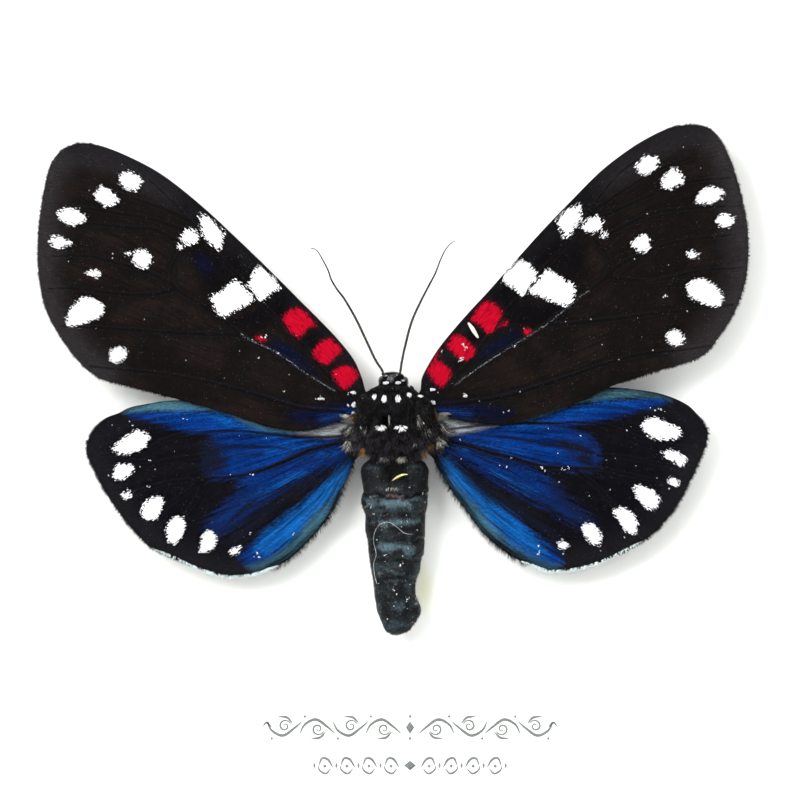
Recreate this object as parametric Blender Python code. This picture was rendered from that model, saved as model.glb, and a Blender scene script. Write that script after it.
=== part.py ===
"""A moth spread behind glass in a square shadow-box frame, at real size in metres.

The frame stands on its bottom edge and its glass faces -Y. +X is the viewer's right and
+Z is up. The origin is the middle of the underside. Left and right are the viewer's.
"""

import math

import bmesh
import bpy
from mathutils import Vector

MM = 0.001

# Frame sizes
FRAME_SIDE = 128 * MM
FRAME_DEPTH = 32 * MM
RAIL_FACE = 14 * MM
LIP_OVERLAP = 4 * MM
LIP_DEPTH = 4 * MM
RAIL_EDGE_ROUND = 0.8 * MM
CLEARANCE = 0.3 * MM

# What lies in the rebate, from the front to the back
GLASS_THICKNESS = 2 * MM
SPACER_DEPTH = 14 * MM
SPACER_THICKNESS = 3.6 * MM
BOARD_THICKNESS = 5 * MM
PANEL_THICKNESS = 3 * MM

# Spring tabs that hold the back panel, two on each rail
TAB_LENGTH = 9 * MM
TAB_WIDTH = 5 * MM
TAB_THICKNESS = 0.4 * MM
TAB_IN_RAIL = 4.5 * MM
TAB_FROM_MIDDLE = 30 * MM

# Sawtooth hanger on the back of the top rail
HANGER_HALF_LENGTH = 19 * MM
HANGER_HALF_RAISED = 11 * MM
HANGER_RAMP = 2.5 * MM
HANGER_HEIGHT = 6 * MM
HANGER_THICKNESS = 0.6 * MM
HANGER_LIFT = 1.2 * MM
HANGER_TEETH = 7
TOOTH_DEPTH = 1.2 * MM
NAIL_FROM_MIDDLE = 16 * MM
NAIL_HEAD_RADIUS = 1.6 * MM
NAIL_HEAD_THICKNESS = 0.6 * MM
NAIL_SHANK_RADIUS = 0.6 * MM
NAIL_LENGTH = 8 * MM

# Places that follow from the sizes above
HALF_SIDE = FRAME_SIDE / 2
SIGHT_HALF = HALF_SIDE - RAIL_FACE
REBATE_HALF = SIGHT_HALF + LIP_OVERLAP
FRONT_Y = -FRAME_DEPTH / 2
BACK_Y = FRAME_DEPTH / 2
GLASS_Y = FRONT_Y + LIP_DEPTH + CLEARANCE
SPACER_Y = GLASS_Y + GLASS_THICKNESS + CLEARANCE
BOARD_Y = SPACER_Y + SPACER_DEPTH + CLEARANCE
PANEL_Y = BOARD_Y + BOARD_THICKNESS + CLEARANCE
TAB_Y = PANEL_Y + PANEL_THICKNESS + CLEARANCE

# The specimen: its outlines are pixels of a head-on view, and the wingspan sets their scale
WINGSPAN = 60 * MM
WINGSPAN_PX = 707
PX = WINGSPAN / WINGSPAN_PX
CENTRE_PX = (394, 452)
WING_THICKNESS = 0.24 * MM
FOREWING_LIFT = 3.7 * MM
HINDWING_LIFT = 3.0 * MM
WING_TIP_RISE = 0.5 * MM
WING_STEPS = 18
WING_ROWS = 12
BODY_SIDES = 20

# Wing outlines: front edge and inner edge run out from the body, outer edge runs down
FOREWING_LEFT = {
    "root": [(364, 391), (357, 402), (353, 415)],
    "front": [(364, 391), (357, 367), (338, 339.5), (300, 300.5), (250, 251), (200, 204.5),
              (160, 173.5), (120, 153), (95, 145.3), (78, 143.9)],
    "outer": [(78, 143.9), (61, 152), (51, 168), (44, 198), (39.4, 236), (40, 275),
              (48, 312), (65, 342), (82, 364), (100, 378.5)],
    "inner": [(353, 415), (330, 425), (300, 430.8), (270, 427), (230, 414), (190, 402.5),
              (140, 389), (100, 378.5)],
}
FOREWING_RIGHT = {
    "root": [(422, 390), (428, 400), (435, 412)],
    "front": [(422, 390), (425.5, 370), (445.5, 340), (480, 300), (516, 260), (560, 212.5),
              (600, 172), (640, 142.5), (672, 127.8), (695, 125.3)],
    "outer": [(695, 125.3), (714, 134), (729, 160), (739.5, 194), (746.5, 232),
              (745.5, 273), (735, 309), (714.5, 342), (693, 360)],
    "inner": [(435, 412), (460, 419.5), (490, 424), (520, 421), (555, 409.5), (600, 391.5),
              (650, 373), (693, 360)],
}
HINDWING_LEFT = {
    "root": [(354, 427), (356, 442), (356, 456)],
    "front": [(354, 427), (320, 415), (280, 405), (230, 399.5), (172, 400.5), (140, 405.5),
              (118, 412.5), (100, 423)],
    "outer": [(100, 423), (88, 440), (88, 457), (97, 475), (112, 500), (143, 540.5),
              (189, 565), (220, 575.3), (252, 575.5)],
    "inner": [(356, 456), (349, 473), (335, 505.5), (310, 538.5), (280, 564.5),
              (252, 575.5)],
}
HINDWING_RIGHT = {
    "root": [(435, 424), (434.5, 440), (433, 454)],
    "front": [(435, 424), (470, 412), (520, 400), (570, 391), (620, 388.5), (658, 393.5),
              (688, 405.5), (702, 420.5)],
    "outer": [(702, 420.5), (707.3, 436), (701, 457), (684.5, 491), (661, 525),
              (632, 546.5), (594, 565), (570, 570.5), (548, 572)],
    "inner": [(433, 454), (441, 472.3), (465, 508.5), (493, 542), (518, 560),
              (548, 572)],
}

# Body stations: height, left edge and right edge in pixels, then the height of the back
# and of the belly above the board in millimetres
THORAX = [(389, 382, 403, 4.8, 2.2), (391, 375, 410, 5.4, 1.9), (396, 368.5, 417.5, 5.9, 1.6),
          (404, 362.5, 425, 6.3, 1.4), (415, 360, 429, 6.5, 1.3), (430, 360, 430.5, 6.4, 1.3),
          (442, 363, 429, 6.1, 1.4), (452, 369, 422, 5.6, 1.6), (459, 377, 414, 4.8, 2.0)]
ABDOMEN = [(464.6, 371, 418, 4.0, 1.9), (470, 362.5, 428, 4.6, 1.2), (482, 361.5, 428.5, 5.0, 1.0),
           (500, 361.2, 427.5, 5.1, 1.0), (515, 365.3, 424.8, 5.0, 1.0),
           (530, 366, 424.5, 4.8, 1.05), (550, 368.5, 423.7, 4.6, 1.1),
           (570, 372, 420, 4.4, 1.2), (588, 374.2, 415, 4.2, 1.3), (600, 375.3, 418, 4.1, 1.4),
           (612, 378, 420, 4.0, 1.5), (622, 381.5, 415, 3.7, 1.7), (630, 385, 409.5, 3.4, 2.0),
           (634, 388.5, 403.5, 2.9, 2.4)]
HEAD = [(373.5, 386.5, 397.5, 3.9, 2.4), (376, 383, 401, 4.4, 2.0), (380, 382, 402, 4.6, 1.8),
        (384.3, 385, 399, 4.3, 2.1)]
ABDOMEN_SEGMENTS = 7
SEGMENT_WAIST = 0.07

# Eyes: middle in pixels, then half sizes across, through and up in millimetres
EYE_MIDDLES = {"eye_left": (375.2, 381.5), "eye_right": (408.8, 380.8)}
EYE_HALF_SIZE = (0.26, 0.75, 0.5)
EYE_LIFT = 3.2 * MM

# Feelers: a thread from the brow to the tip
ANTENNA_ROOT_RADIUS = 0.16 * MM
ANTENNA_TIP_RADIUS = 0.06 * MM
ANTENNA_LIFT = 4.0 * MM
ANTENNA_LEFT = [(381.5, 369.5), (375.5, 360), (366, 340), (356.5, 320), (345, 300), (331.5, 280),
                (323, 260), (316, 250), (310.5, 248.3)]
ANTENNA_RIGHT = [(400.8, 369.5), (404.6, 348.4), (411.5, 322.4), (421.5, 300), (432, 280),
                 (440.6, 259.6), (445.2, 250.4), (450.5, 244), (455.4, 241.2)]

# Legs folded under the body: hip, knee and foot, out from the middle line and up, in
# millimetres
LEG_PAIRS = {
    "leg_front": [(1.5, 4.2), (2.0, 4.7), (1.7, 5.4), (0.9, 5.9)],
    "leg_middle": [(1.5, 2.8), (2.6, 2.5), (2.6, 1.2), (1.8, 0.0)],
    "leg_hind": [(1.5, 1.2), (1.9, -0.6), (1.5, -2.8), (0.9, -4.6)],
}
LEG_RADIUS = 0.15 * MM
LEG_TIP_RADIUS = 0.08 * MM
LEG_LIFT = 0.5 * MM

# Dab of glue between the belly and the board
GLUE_RADIUS = 0.95 * MM
GLUE_THICKNESS = 0.7 * MM
GLUE_PX = (394.5, 424)


def clear_scene():
    """Remove every object, so that the model starts in an empty scene."""
    for old in list(bpy.data.objects):
        bpy.data.objects.remove(old, do_unlink=True)


def finish_material(name, colour, roughness, metallic=0.0, transmission=0.0):
    """Return a Principled material of one plain colour."""
    made = bpy.data.materials.new(name)
    made.use_nodes = True
    shader = made.node_tree.nodes["Principled BSDF"]
    shader.inputs["Base Color"].default_value = (*colour, 1.0)
    shader.inputs["Roughness"].default_value = roughness
    shader.inputs["Metallic"].default_value = metallic
    shader.inputs["Transmission Weight"].default_value = transmission
    return made


def add_object(name, data, material, smooth=False):
    """Put mesh or curve data into the scene under the piece's name."""
    piece = bpy.data.objects.new(name, data)
    bpy.context.scene.collection.objects.link(piece)
    data.materials.append(material)
    if smooth:
        data.shade_smooth()
    return piece


def mesh_from(name, bm):
    """Turn a bmesh into a mesh with its faces pointing out."""
    bmesh.ops.recalc_face_normals(bm, faces=bm.faces)
    mesh = bpy.data.meshes.new(name)
    bm.to_mesh(mesh)
    bm.free()
    return mesh


def box_mesh(name, low, high):
    """Return a box between two corners."""
    bm = bmesh.new()
    bmesh.ops.create_cube(bm, size=1.0)
    low, high = Vector(low), Vector(high)
    bmesh.ops.scale(bm, vec=high - low, verts=bm.verts)
    bmesh.ops.translate(bm, vec=(low + high) / 2, verts=bm.verts)
    return mesh_from(name, bm)


def turned_mesh(name, profile, sides):
    """Return a solid turned about the Y axis from (radius, y) points."""
    bm = bmesh.new()
    rim = [bm.verts.new((radius, y, 0)) for radius, y in profile]
    edges = [bm.edges.new(pair) for pair in zip(rim, rim[1:])]
    bmesh.ops.spin(bm, geom=rim + edges, axis=(0, 1, 0), cent=(0, 0, 0),
                   angle=math.tau, steps=sides, use_merge=True)
    bmesh.ops.remove_doubles(bm, verts=bm.verts, dist=1e-6)
    return mesh_from(name, bm)


def cut_away(piece, cutter):
    """Cut the cutter's shape out of a piece and hide the cutter."""
    cut = piece.modifiers.new(cutter.name, "BOOLEAN")
    cut.operation = "DIFFERENCE"
    cut.solver = "EXACT"
    cut.object = cutter
    cutter.hide_render = True
    cutter.display_type = "WIRE"


def smooth_curve(points, count):
    """Return count + 1 points spaced evenly along a smooth curve through the given ones."""
    points = [Vector(point) for point in points]
    ends = [2 * points[0] - points[1], *points, 2 * points[-1] - points[-2]]
    fine = [points[0]]
    for before, start, end, after in zip(ends, ends[1:], ends[2:], ends[3:]):
        for step in range(1, 13):
            t = step / 12
            fine.append(0.5 * (2 * start + (end - before) * t
                               + (2 * before - 5 * start + 4 * end - after) * t ** 2
                               + (3 * start - before - 3 * end + after) * t ** 3))
    reach = [0.0]
    for here, there in zip(fine, fine[1:]):
        reach.append(reach[-1] + (there - here).length)
    spaced = []
    place = 0
    for number in range(count + 1):
        wanted = reach[-1] * number / count
        while place < len(fine) - 2 and reach[place + 1] < wanted:
            place += 1
        span = reach[place + 1] - reach[place]
        spaced.append(fine[place].lerp(fine[place + 1], (wanted - reach[place]) / span))
    return spaced


def at_pixel(pixel, lift):
    """Return the place of a pixel, at a height above the board towards the glass."""
    x = (pixel[0] - CENTRE_PX[0]) * PX
    z = HALF_SIDE + (CENTRE_PX[1] - pixel[1]) * PX
    return Vector((x, BOARD_Y - lift, z))


def rail_mesh():
    """Return one rail of the frame, mitred at both ends, as it lies at the top."""
    section = [(SIGHT_HALF, FRONT_Y), (HALF_SIDE, FRONT_Y), (HALF_SIDE, BACK_Y),
               (REBATE_HALF, BACK_Y), (REBATE_HALF, FRONT_Y + LIP_DEPTH),
               (SIGHT_HALF, FRONT_Y + LIP_DEPTH)]
    bm = bmesh.new()
    end = bm.faces.new([bm.verts.new((-HALF_SIDE * 1.2, y, z)) for z, y in section])
    grown = bmesh.ops.extrude_face_region(bm, geom=[end])["geom"]
    moved = [part for part in grown if isinstance(part, bmesh.types.BMVert)]
    bmesh.ops.translate(bm, vec=(HALF_SIDE * 2.4, 0, 0), verts=moved)
    front_edges = [edge for edge in bm.edges
                   if edge.calc_length() > HALF_SIDE
                   and all(vert.co.y < FRONT_Y + 1e-6 for vert in edge.verts)]
    bmesh.ops.bevel(bm, geom=front_edges, offset=RAIL_EDGE_ROUND, segments=3, profile=0.5,
                    affect="EDGES")
    for side in (-1, 1):
        across = Vector((side, 0, -1)).normalized()
        cut = bmesh.ops.bisect_plane(bm, geom=[*bm.verts, *bm.edges, *bm.faces],
                                     plane_co=-across * CLEARANCE / 2, plane_no=across,
                                     clear_outer=True)["geom_cut"]
        bmesh.ops.edgeloop_fill(bm, edges=[part for part in cut
                                           if isinstance(part, bmesh.types.BMEdge)])
    return mesh_from("frame_rail", bm)


def tab_mesh():
    """Return one spring tab with a rounded tip, as it lies under the top rail."""
    bm = bmesh.new()
    half = TAB_WIDTH / 2
    tip = REBATE_HALF + TAB_IN_RAIL - TAB_LENGTH
    outline = [(-half, REBATE_HALF + TAB_IN_RAIL), (half, REBATE_HALF + TAB_IN_RAIL)]
    for step in range(7):
        angle = math.pi * step / 6
        outline.append((half * math.cos(angle), tip + half - half * math.sin(angle)))
    face = bm.faces.new([bm.verts.new((x, TAB_Y, z)) for x, z in outline])
    grown = bmesh.ops.extrude_face_region(bm, geom=[face])["geom"]
    moved = [part for part in grown if isinstance(part, bmesh.types.BMVert)]
    bmesh.ops.translate(bm, vec=(0, TAB_THICKNESS, 0), verts=moved)
    return mesh_from("spring_tab", bm)


def build_frame():
    """Build the four rails and the spring tabs let into them."""
    black = finish_material("black_frame_paint", (0.012, 0.012, 0.013), 0.38)
    steel = finish_material("tab_steel", (0.55, 0.56, 0.57), 0.35, metallic=1.0)
    rail = rail_mesh()
    tab = tab_mesh()
    slot = box_mesh("tab_slot",
                    (-TAB_WIDTH / 2 - CLEARANCE, TAB_Y - CLEARANCE, REBATE_HALF - MM),
                    (TAB_WIDTH / 2 + CLEARANCE, TAB_Y + TAB_THICKNESS + CLEARANCE,
                     REBATE_HALF + TAB_IN_RAIL + CLEARANCE))
    middle = Vector((0, 0, HALF_SIDE))
    rails = {}
    for turn, side in enumerate(("top", "right", "bottom", "left")):
        angle = math.radians(90 * turn)
        along = Vector((math.cos(angle), 0, -math.sin(angle)))
        rails[side] = add_object(f"frame_rail_{side}", rail.copy(), black)
        rails[side].location = middle
        rails[side].rotation_euler.y = angle
        for number, offset in enumerate((-TAB_FROM_MIDDLE, TAB_FROM_MIDDLE), start=1):
            place = middle + along * offset
            cutter = add_object(f"slot_{side}_{number}", slot.copy(), steel)
            spring = add_object(f"spring_tab_{side}_{number}", tab.copy(), steel)
            for piece in (cutter, spring):
                piece.location = place
                piece.rotation_euler.y = angle
            cut_away(rails[side], cutter)
    return rails


def build_filling():
    """Build the glass, the spacers, the mount board and the back panel in the rebate."""
    glass = finish_material("clear_glass", (1.0, 1.0, 1.0), 0.02, transmission=1.0)
    foam = finish_material("white_foam", (0.88, 0.88, 0.86), 0.7)
    paper = finish_material("white_board", (0.93, 0.93, 0.91), 0.75)
    hardboard = finish_material("brown_hardboard", (0.22, 0.12, 0.06), 0.65)
    half = REBATE_HALF - CLEARANCE
    for name, front, thickness, material in (
            ("glass_pane", GLASS_Y, GLASS_THICKNESS, glass),
            ("mount_board", BOARD_Y, BOARD_THICKNESS, paper),
            ("back_panel", PANEL_Y, PANEL_THICKNESS, hardboard)):
        sheet = box_mesh(name, (-half, front, -half), (half, front + thickness, half))
        add_object(name, sheet, material).location.z = HALF_SIDE
    inside = half - SPACER_THICKNESS
    for turn, side in enumerate(("top", "right", "bottom", "left")):
        across = half if turn % 2 == 0 else inside - CLEARANCE
        strip = box_mesh(f"spacer_{side}", (-across, SPACER_Y, inside),
                         (across, SPACER_Y + SPACER_DEPTH, half))
        spacer = add_object(f"spacer_{side}", strip, foam)
        spacer.location.z = HALF_SIDE
        spacer.rotation_euler.y = math.radians(90 * turn)


def hanger_mesh():
    """Return the sawtooth plate: flat end pads, ramps, and a raised toothed middle."""
    bm = bmesh.new()
    top = HANGER_HEIGHT / 2
    stations = [(-HANGER_HALF_LENGTH, 0.0), (-HANGER_HALF_RAISED - HANGER_RAMP, 0.0),
                (-HANGER_HALF_RAISED, HANGER_LIFT), (HANGER_HALF_RAISED, HANGER_LIFT),
                (HANGER_HALF_RAISED + HANGER_RAMP, 0.0), (HANGER_HALF_LENGTH, 0.0)]
    upper = [bm.verts.new((x, y, top)) for x, y in stations]
    lower = [bm.verts.new((x, y, -top)) for x, y in stations]
    tooth = 2 * HANGER_HALF_RAISED / HANGER_TEETH
    teeth = []
    for number in range(2 * HANGER_TEETH - 1):
        rise = TOOTH_DEPTH if number % 2 == 0 else 0.0
        x = -HANGER_HALF_RAISED + tooth * (number + 1) / 2
        teeth.append(bm.verts.new((x, HANGER_LIFT, -top + rise)))
    for place in range(5):
        edge = teeth if place == 2 else []
        bm.faces.new([upper[place + 1], upper[place], lower[place], *edge, lower[place + 1]])
    grown = bmesh.ops.extrude_face_region(bm, geom=list(bm.faces))["geom"]
    moved = [part for part in grown if isinstance(part, bmesh.types.BMVert)]
    bmesh.ops.translate(bm, vec=(0, HANGER_THICKNESS, 0), verts=moved)
    return mesh_from("hanger_plate", bm)


def build_hanger(top_rail):
    """Build the hanger and its two nails, with their holes in the plate and the rail."""
    brass = finish_material("brassed_steel", (0.62, 0.46, 0.2), 0.32, metallic=1.0)
    place = Vector((0, BACK_Y + CLEARANCE, HALF_SIDE + (REBATE_HALF + HALF_SIDE) / 2))
    plate = add_object("hanger_plate", hanger_mesh(), brass)
    plate.location = place
    under_head = HANGER_THICKNESS + CLEARANCE
    nail = turned_mesh("nail", [(0, under_head + NAIL_HEAD_THICKNESS),
                                (NAIL_HEAD_RADIUS * 0.7, under_head + NAIL_HEAD_THICKNESS),
                                (NAIL_HEAD_RADIUS, under_head + NAIL_HEAD_THICKNESS * 0.4),
                                (NAIL_HEAD_RADIUS, under_head),
                                (NAIL_SHANK_RADIUS, under_head),
                                (NAIL_SHANK_RADIUS, 1.5 * MM - NAIL_LENGTH),
                                (0, -NAIL_LENGTH)], 12)
    hole = turned_mesh("nail_hole", [(0, under_head + MM),
                                     (NAIL_SHANK_RADIUS + CLEARANCE, under_head + MM),
                                     (NAIL_SHANK_RADIUS + CLEARANCE, -NAIL_LENGTH - CLEARANCE),
                                     (0, -NAIL_LENGTH - CLEARANCE)], 12)
    for side, offset in (("left", -NAIL_FROM_MIDDLE), ("right", NAIL_FROM_MIDDLE)):
        shank = add_object(f"hanger_nail_{side}", nail.copy(), brass, smooth=True)
        shank.data.set_sharp_from_angle(angle=math.radians(40))
        cutter = add_object(f"nail_hole_{side}", hole.copy(), brass)
        for piece in (shank, cutter):
            piece.location = place + Vector((offset, 0, 0))
        cut_away(top_rail, cutter)
        cut_away(plate, cutter)


def wing_height(x, z, lift):
    """Return how high a wing stands over the board: it dips along the body and rises out."""
    out = min(abs(x) / (WINGSPAN / 2), 1.0)
    pleat = 0.07 * MM * math.sin(z / (2.6 * MM))
    return lift + WING_TIP_RISE * out ** 2 + pleat * math.sin(math.pi * min(out * 1.4, 1.0))


def add_wing(name, outline, lift, material):
    """Stretch a grid between the four edges of a wing and give it a thickness."""
    front = smooth_curve(outline["front"], WING_STEPS)
    inner = smooth_curve(outline["inner"], WING_STEPS)
    root = smooth_curve(outline["root"], WING_ROWS)
    outer = smooth_curve(outline["outer"], WING_ROWS)
    bm = bmesh.new()
    bmesh.ops.create_grid(bm, x_segments=WING_STEPS, y_segments=WING_ROWS, size=0.5)
    for vert in bm.verts:
        u, v = vert.co.x + 0.5, vert.co.y + 0.5
        step, row = round(u * WING_STEPS), round(v * WING_ROWS)
        edges = (front[step] * (1 - v) + inner[step] * v
                 + root[row] * (1 - u) + outer[row] * u)
        corners = ((front[0] * (1 - v) + inner[0] * v) * (1 - u)
                   + (front[-1] * (1 - v) + inner[-1] * v) * u)
        place = at_pixel(edges - corners, 0)
        place.y -= wing_height(place.x, place.z, lift)
        vert.co = place
    wing = add_object(name, mesh_from(name, bm), material, smooth=True)
    wall = wing.modifiers.new("thickness", "SOLIDIFY")
    wall.thickness = WING_THICKNESS
    wall.offset = 0


def add_body_part(name, stations, rings, material, segments=0):
    """Loft a closed body through stations, with a waist between its segments."""
    spine = smooth_curve([Vector(station[:3]) for station in stations], rings)
    depth = smooth_curve([Vector((station[0], *station[3:])) for station in stations], rings * 4)
    bm = bmesh.new()
    bmesh.ops.create_uvsphere(bm, u_segments=BODY_SIDES, v_segments=rings + 2, radius=1.0)
    for vert in bm.verts:
        ring = round(math.acos(max(-1.0, min(1.0, vert.co.z))) / math.pi * (rings + 2)) - 1
        height, left, right = spine[max(0, min(rings, ring))]
        level = min(depth, key=lambda point: abs(point.x - height))
        flat = Vector((vert.co.x, vert.co.y))
        if ring < 0 or ring > rings:
            height += math.copysign(1.0, ring)
        else:
            flat.normalize()
            waist = abs(math.sin(math.pi * segments * ring / rings)) ** 0.5 if segments else 1
            flat *= 1 - SEGMENT_WAIST * (1 - waist)
        place = at_pixel(((left + right) / 2, height), 0)
        place.x += flat.x * (right - left) / 2 * PX
        place.y -= ((level.y + level.z) / 2 - flat.y * (level.y - level.z) / 2) * MM
        vert.co = place
    add_object(name, mesh_from(name, bm), material, smooth=True)


def add_thread(name, points, thick, thin, material, steps):
    """Draw a tapering round thread through points."""
    curve = bpy.data.curves.new(name, "CURVE")
    curve.dimensions = "3D"
    curve.bevel_depth = thick
    curve.bevel_resolution = 1
    curve.use_fill_caps = True
    line = smooth_curve(points, steps)
    spline = curve.splines.new("POLY")
    spline.points.add(steps)
    for number, (knot, place) in enumerate(zip(spline.points, line)):
        knot.co = (*place, 1.0)
        knot.radius = 1 + (thin / thick - 1) * number / steps
    add_object(name, curve, material)


def build_moth():
    """Build the wings, the body, the feelers, the folded legs and the glue under them."""
    scales = finish_material("dark_wing_scales", (0.016, 0.011, 0.009), 0.75)
    blue = finish_material("blue_wing_scales", (0.012, 0.04, 0.2), 0.6)
    fur = finish_material("black_body_fur", (0.012, 0.012, 0.015), 0.85)
    belly = finish_material("slate_abdomen", (0.014, 0.022, 0.028), 0.6)
    shine = finish_material("dark_eye", (0.02, 0.022, 0.012), 0.2)
    horn = finish_material("dark_horn", (0.018, 0.016, 0.012), 0.5)
    glue = finish_material("clear_glue", (0.75, 0.72, 0.6), 0.25)
    add_wing("hindwing_left", HINDWING_LEFT, HINDWING_LIFT, blue)
    add_wing("hindwing_right", HINDWING_RIGHT, HINDWING_LIFT, blue)
    add_wing("forewing_left", FOREWING_LEFT, FOREWING_LIFT, scales)
    add_wing("forewing_right", FOREWING_RIGHT, FOREWING_LIFT, scales)
    add_body_part("thorax", THORAX, 12, fur)
    add_body_part("abdomen", ABDOMEN, 3 * ABDOMEN_SEGMENTS, belly, ABDOMEN_SEGMENTS)
    add_body_part("head", HEAD, 4, fur)
    for name, middle in EYE_MIDDLES.items():
        bm = bmesh.new()
        bmesh.ops.create_uvsphere(bm, u_segments=12, v_segments=8, radius=MM)
        bmesh.ops.scale(bm, vec=EYE_HALF_SIZE, verts=bm.verts)
        add_object(name, mesh_from(name, bm), shine, smooth=True).location = at_pixel(middle, EYE_LIFT)
    for name, route in (("antenna_left", ANTENNA_LEFT), ("antenna_right", ANTENNA_RIGHT)):
        add_thread(name, [at_pixel(pixel, ANTENNA_LIFT) for pixel in route],
                   ANTENNA_ROOT_RADIUS, ANTENNA_TIP_RADIUS, horn, 20)
    middle = at_pixel(GLUE_PX, LEG_LIFT)
    for pair, joints in LEG_PAIRS.items():
        for side, out in (("left", -1), ("right", 1)):
            route = [Vector((middle.x + out * x * MM, middle.y, HALF_SIDE + z * MM))
                     for x, z in joints]
            add_thread(f"{pair}_{side}", route, LEG_RADIUS, LEG_TIP_RADIUS, horn, 7)
    dab = turned_mesh("glue_dab", [(0, -GLUE_THICKNESS), (GLUE_RADIUS * 0.6, -GLUE_THICKNESS),
                                   (GLUE_RADIUS * 0.9, -GLUE_THICKNESS / 2),
                                   (GLUE_RADIUS, 0), (0, 0)], 16)
    add_object("glue_dab", dab, glue, smooth=True).location = at_pixel(GLUE_PX, CLEARANCE)


clear_scene()
frame_rails = build_frame()
build_filling()
build_hanger(frame_rails["top"])
build_moth()
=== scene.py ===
"""Finish, scales, fur and lighting of a spread moth in a glazed shadow-box frame.

Left and right are the viewer's. Outlines on the moth are pixels of a head-on view, 794 across,
and heights are millimetres above the white board, towards the glass.
"""

import logging
import math
from dataclasses import dataclass, field
from enum import Enum
from typing import Callable, Sequence

import bmesh
import bpy
import numpy as np
from mathutils import Matrix, Vector


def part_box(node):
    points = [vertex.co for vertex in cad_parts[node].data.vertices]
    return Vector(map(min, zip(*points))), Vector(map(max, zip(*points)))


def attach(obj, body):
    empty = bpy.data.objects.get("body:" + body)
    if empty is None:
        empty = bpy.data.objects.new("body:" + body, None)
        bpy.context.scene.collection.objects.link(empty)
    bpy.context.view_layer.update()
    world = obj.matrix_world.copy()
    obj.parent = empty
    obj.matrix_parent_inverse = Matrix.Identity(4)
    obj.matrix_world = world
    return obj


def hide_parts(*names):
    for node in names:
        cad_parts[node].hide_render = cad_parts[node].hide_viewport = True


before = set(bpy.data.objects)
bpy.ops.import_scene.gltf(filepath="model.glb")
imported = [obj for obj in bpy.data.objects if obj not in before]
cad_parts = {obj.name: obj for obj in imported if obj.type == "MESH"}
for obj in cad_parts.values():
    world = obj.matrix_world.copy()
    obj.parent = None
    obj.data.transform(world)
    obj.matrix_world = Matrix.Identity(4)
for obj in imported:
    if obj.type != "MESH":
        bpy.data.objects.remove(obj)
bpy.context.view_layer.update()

Array = np.ndarray
BMesh = bmesh.types.BMesh
Generator = np.random.Generator
Material = bpy.types.Material
Mesh = bpy.types.Mesh
Socket = bpy.types.NodeSocket
Triple = tuple[float, float, float]
Path = Sequence[tuple[float, float]] | str

LOG = logging.getLogger("moth")

MM = 0.001
VIEW_PX = 794
WINGSPAN = 60 * MM
WINGSPAN_PX = 707
PX = WINGSPAN / WINGSPAN_PX
CENTRE_PX = (394.0, 452.0)
BOARD_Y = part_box("mount_board")[0][1]
MIDDLE_Z = (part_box("glass_pane")[0][2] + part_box("glass_pane")[1][2]) / 2


class Hue(Enum):
    """Colour layers that are laid over a wing's dark ground."""

    BLUE = "blue"
    AZURE = "azure"
    TEAL = "teal"
    PALE = "pale"
    SHADE = "shade"
    VELVET = "velvet"


class Cut(Enum):
    """Outline of one hair or scale."""

    HAIR = "hair"
    BLADE = "blade"


def read_trace(text: str) -> Array:
    """Read an outline or a table: rows parted by spaces, and a row's numbers by commas."""
    return np.array([[float(number) for number in point.split(",")] for point in text.split()])


def at_pixel(pixels: Array, lift: Array | float) -> Array:
    """Place pixels of the head-on view in the frame.

    Args:
        pixels: Points as an (n, 2) array.
        lift: Height above the board in metres, one for all or one for each.

    Returns:
        Points in metres as an (n, 3) array.
    """
    pixels = np.atleast_2d(np.asarray(pixels, dtype=float))
    placed = np.empty((len(pixels), 3))
    placed[:, 0] = (pixels[:, 0] - CENTRE_PX[0]) * PX
    placed[:, 1] = BOARD_Y - np.asarray(lift)
    placed[:, 2] = MIDDLE_Z + (CENTRE_PX[1] - pixels[:, 1]) * PX
    return placed


def smooth_path(points: Path, count: int, closed: bool = False) -> Array:
    """Space points evenly along a smooth curve through the given ones.

    Args:
        points: Points that the curve passes through, or the text that read_trace takes.
        count: Number of steps.
        closed: Whether the curve returns to its start.

    Returns:
        count + 1 points, or count of them where the curve is closed.
    """
    known = read_trace(points) if isinstance(points, str) else np.asarray(points, dtype=float)
    if closed:
        known = np.vstack([known[-1], known, known[:2]])
    else:
        known = np.vstack([2 * known[0] - known[1], known, 2 * known[-1] - known[-2]])
    before, start, end, after = known[:-3], known[1:-2], known[2:-1], known[3:]
    t = np.linspace(0, 1, 13)[1:, None, None]
    fine = 0.5 * (2 * start + (end - before) * t + (2 * before - 5 * start + 4 * end - after) * t ** 2
                  + (3 * start - before - 3 * end + after) * t ** 3)
    fine = np.vstack([known[1], fine.transpose(1, 0, 2).reshape(-1, known.shape[1])])
    reach = np.concatenate([[0], np.cumsum(np.linalg.norm(np.diff(fine, axis=0), axis=1))])
    wanted = np.linspace(0, reach[-1], count + 1)
    spaced = np.stack([np.interp(wanted, reach, column) for column in fine.T], axis=1)
    return spaced[:-1] if closed else spaced


def path_gap(points: Array, path: Array) -> tuple[Array, Array]:
    """Measure how far points are from a path.

    Args:
        points: Points as an (n, 2) array.
        path: The path's own points.

    Returns:
        The distance of each point, and how far along the path its foot lies, from 0 to 1.
    """
    best = np.full(len(points), 1e9)
    along = np.zeros(len(points))
    for number, (start, end) in enumerate(zip(path, path[1:])):
        span = end - start
        share = np.clip(((points - start) @ span) / max(span @ span, 1e-12), 0, 1)
        gap = np.linalg.norm(points - start - share[:, None] * span, axis=1)
        nearer = gap < best
        best[nearer] = gap[nearer]
        along[nearer] = (number + share[nearer]) / (len(path) - 1)
    return best, along


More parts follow.
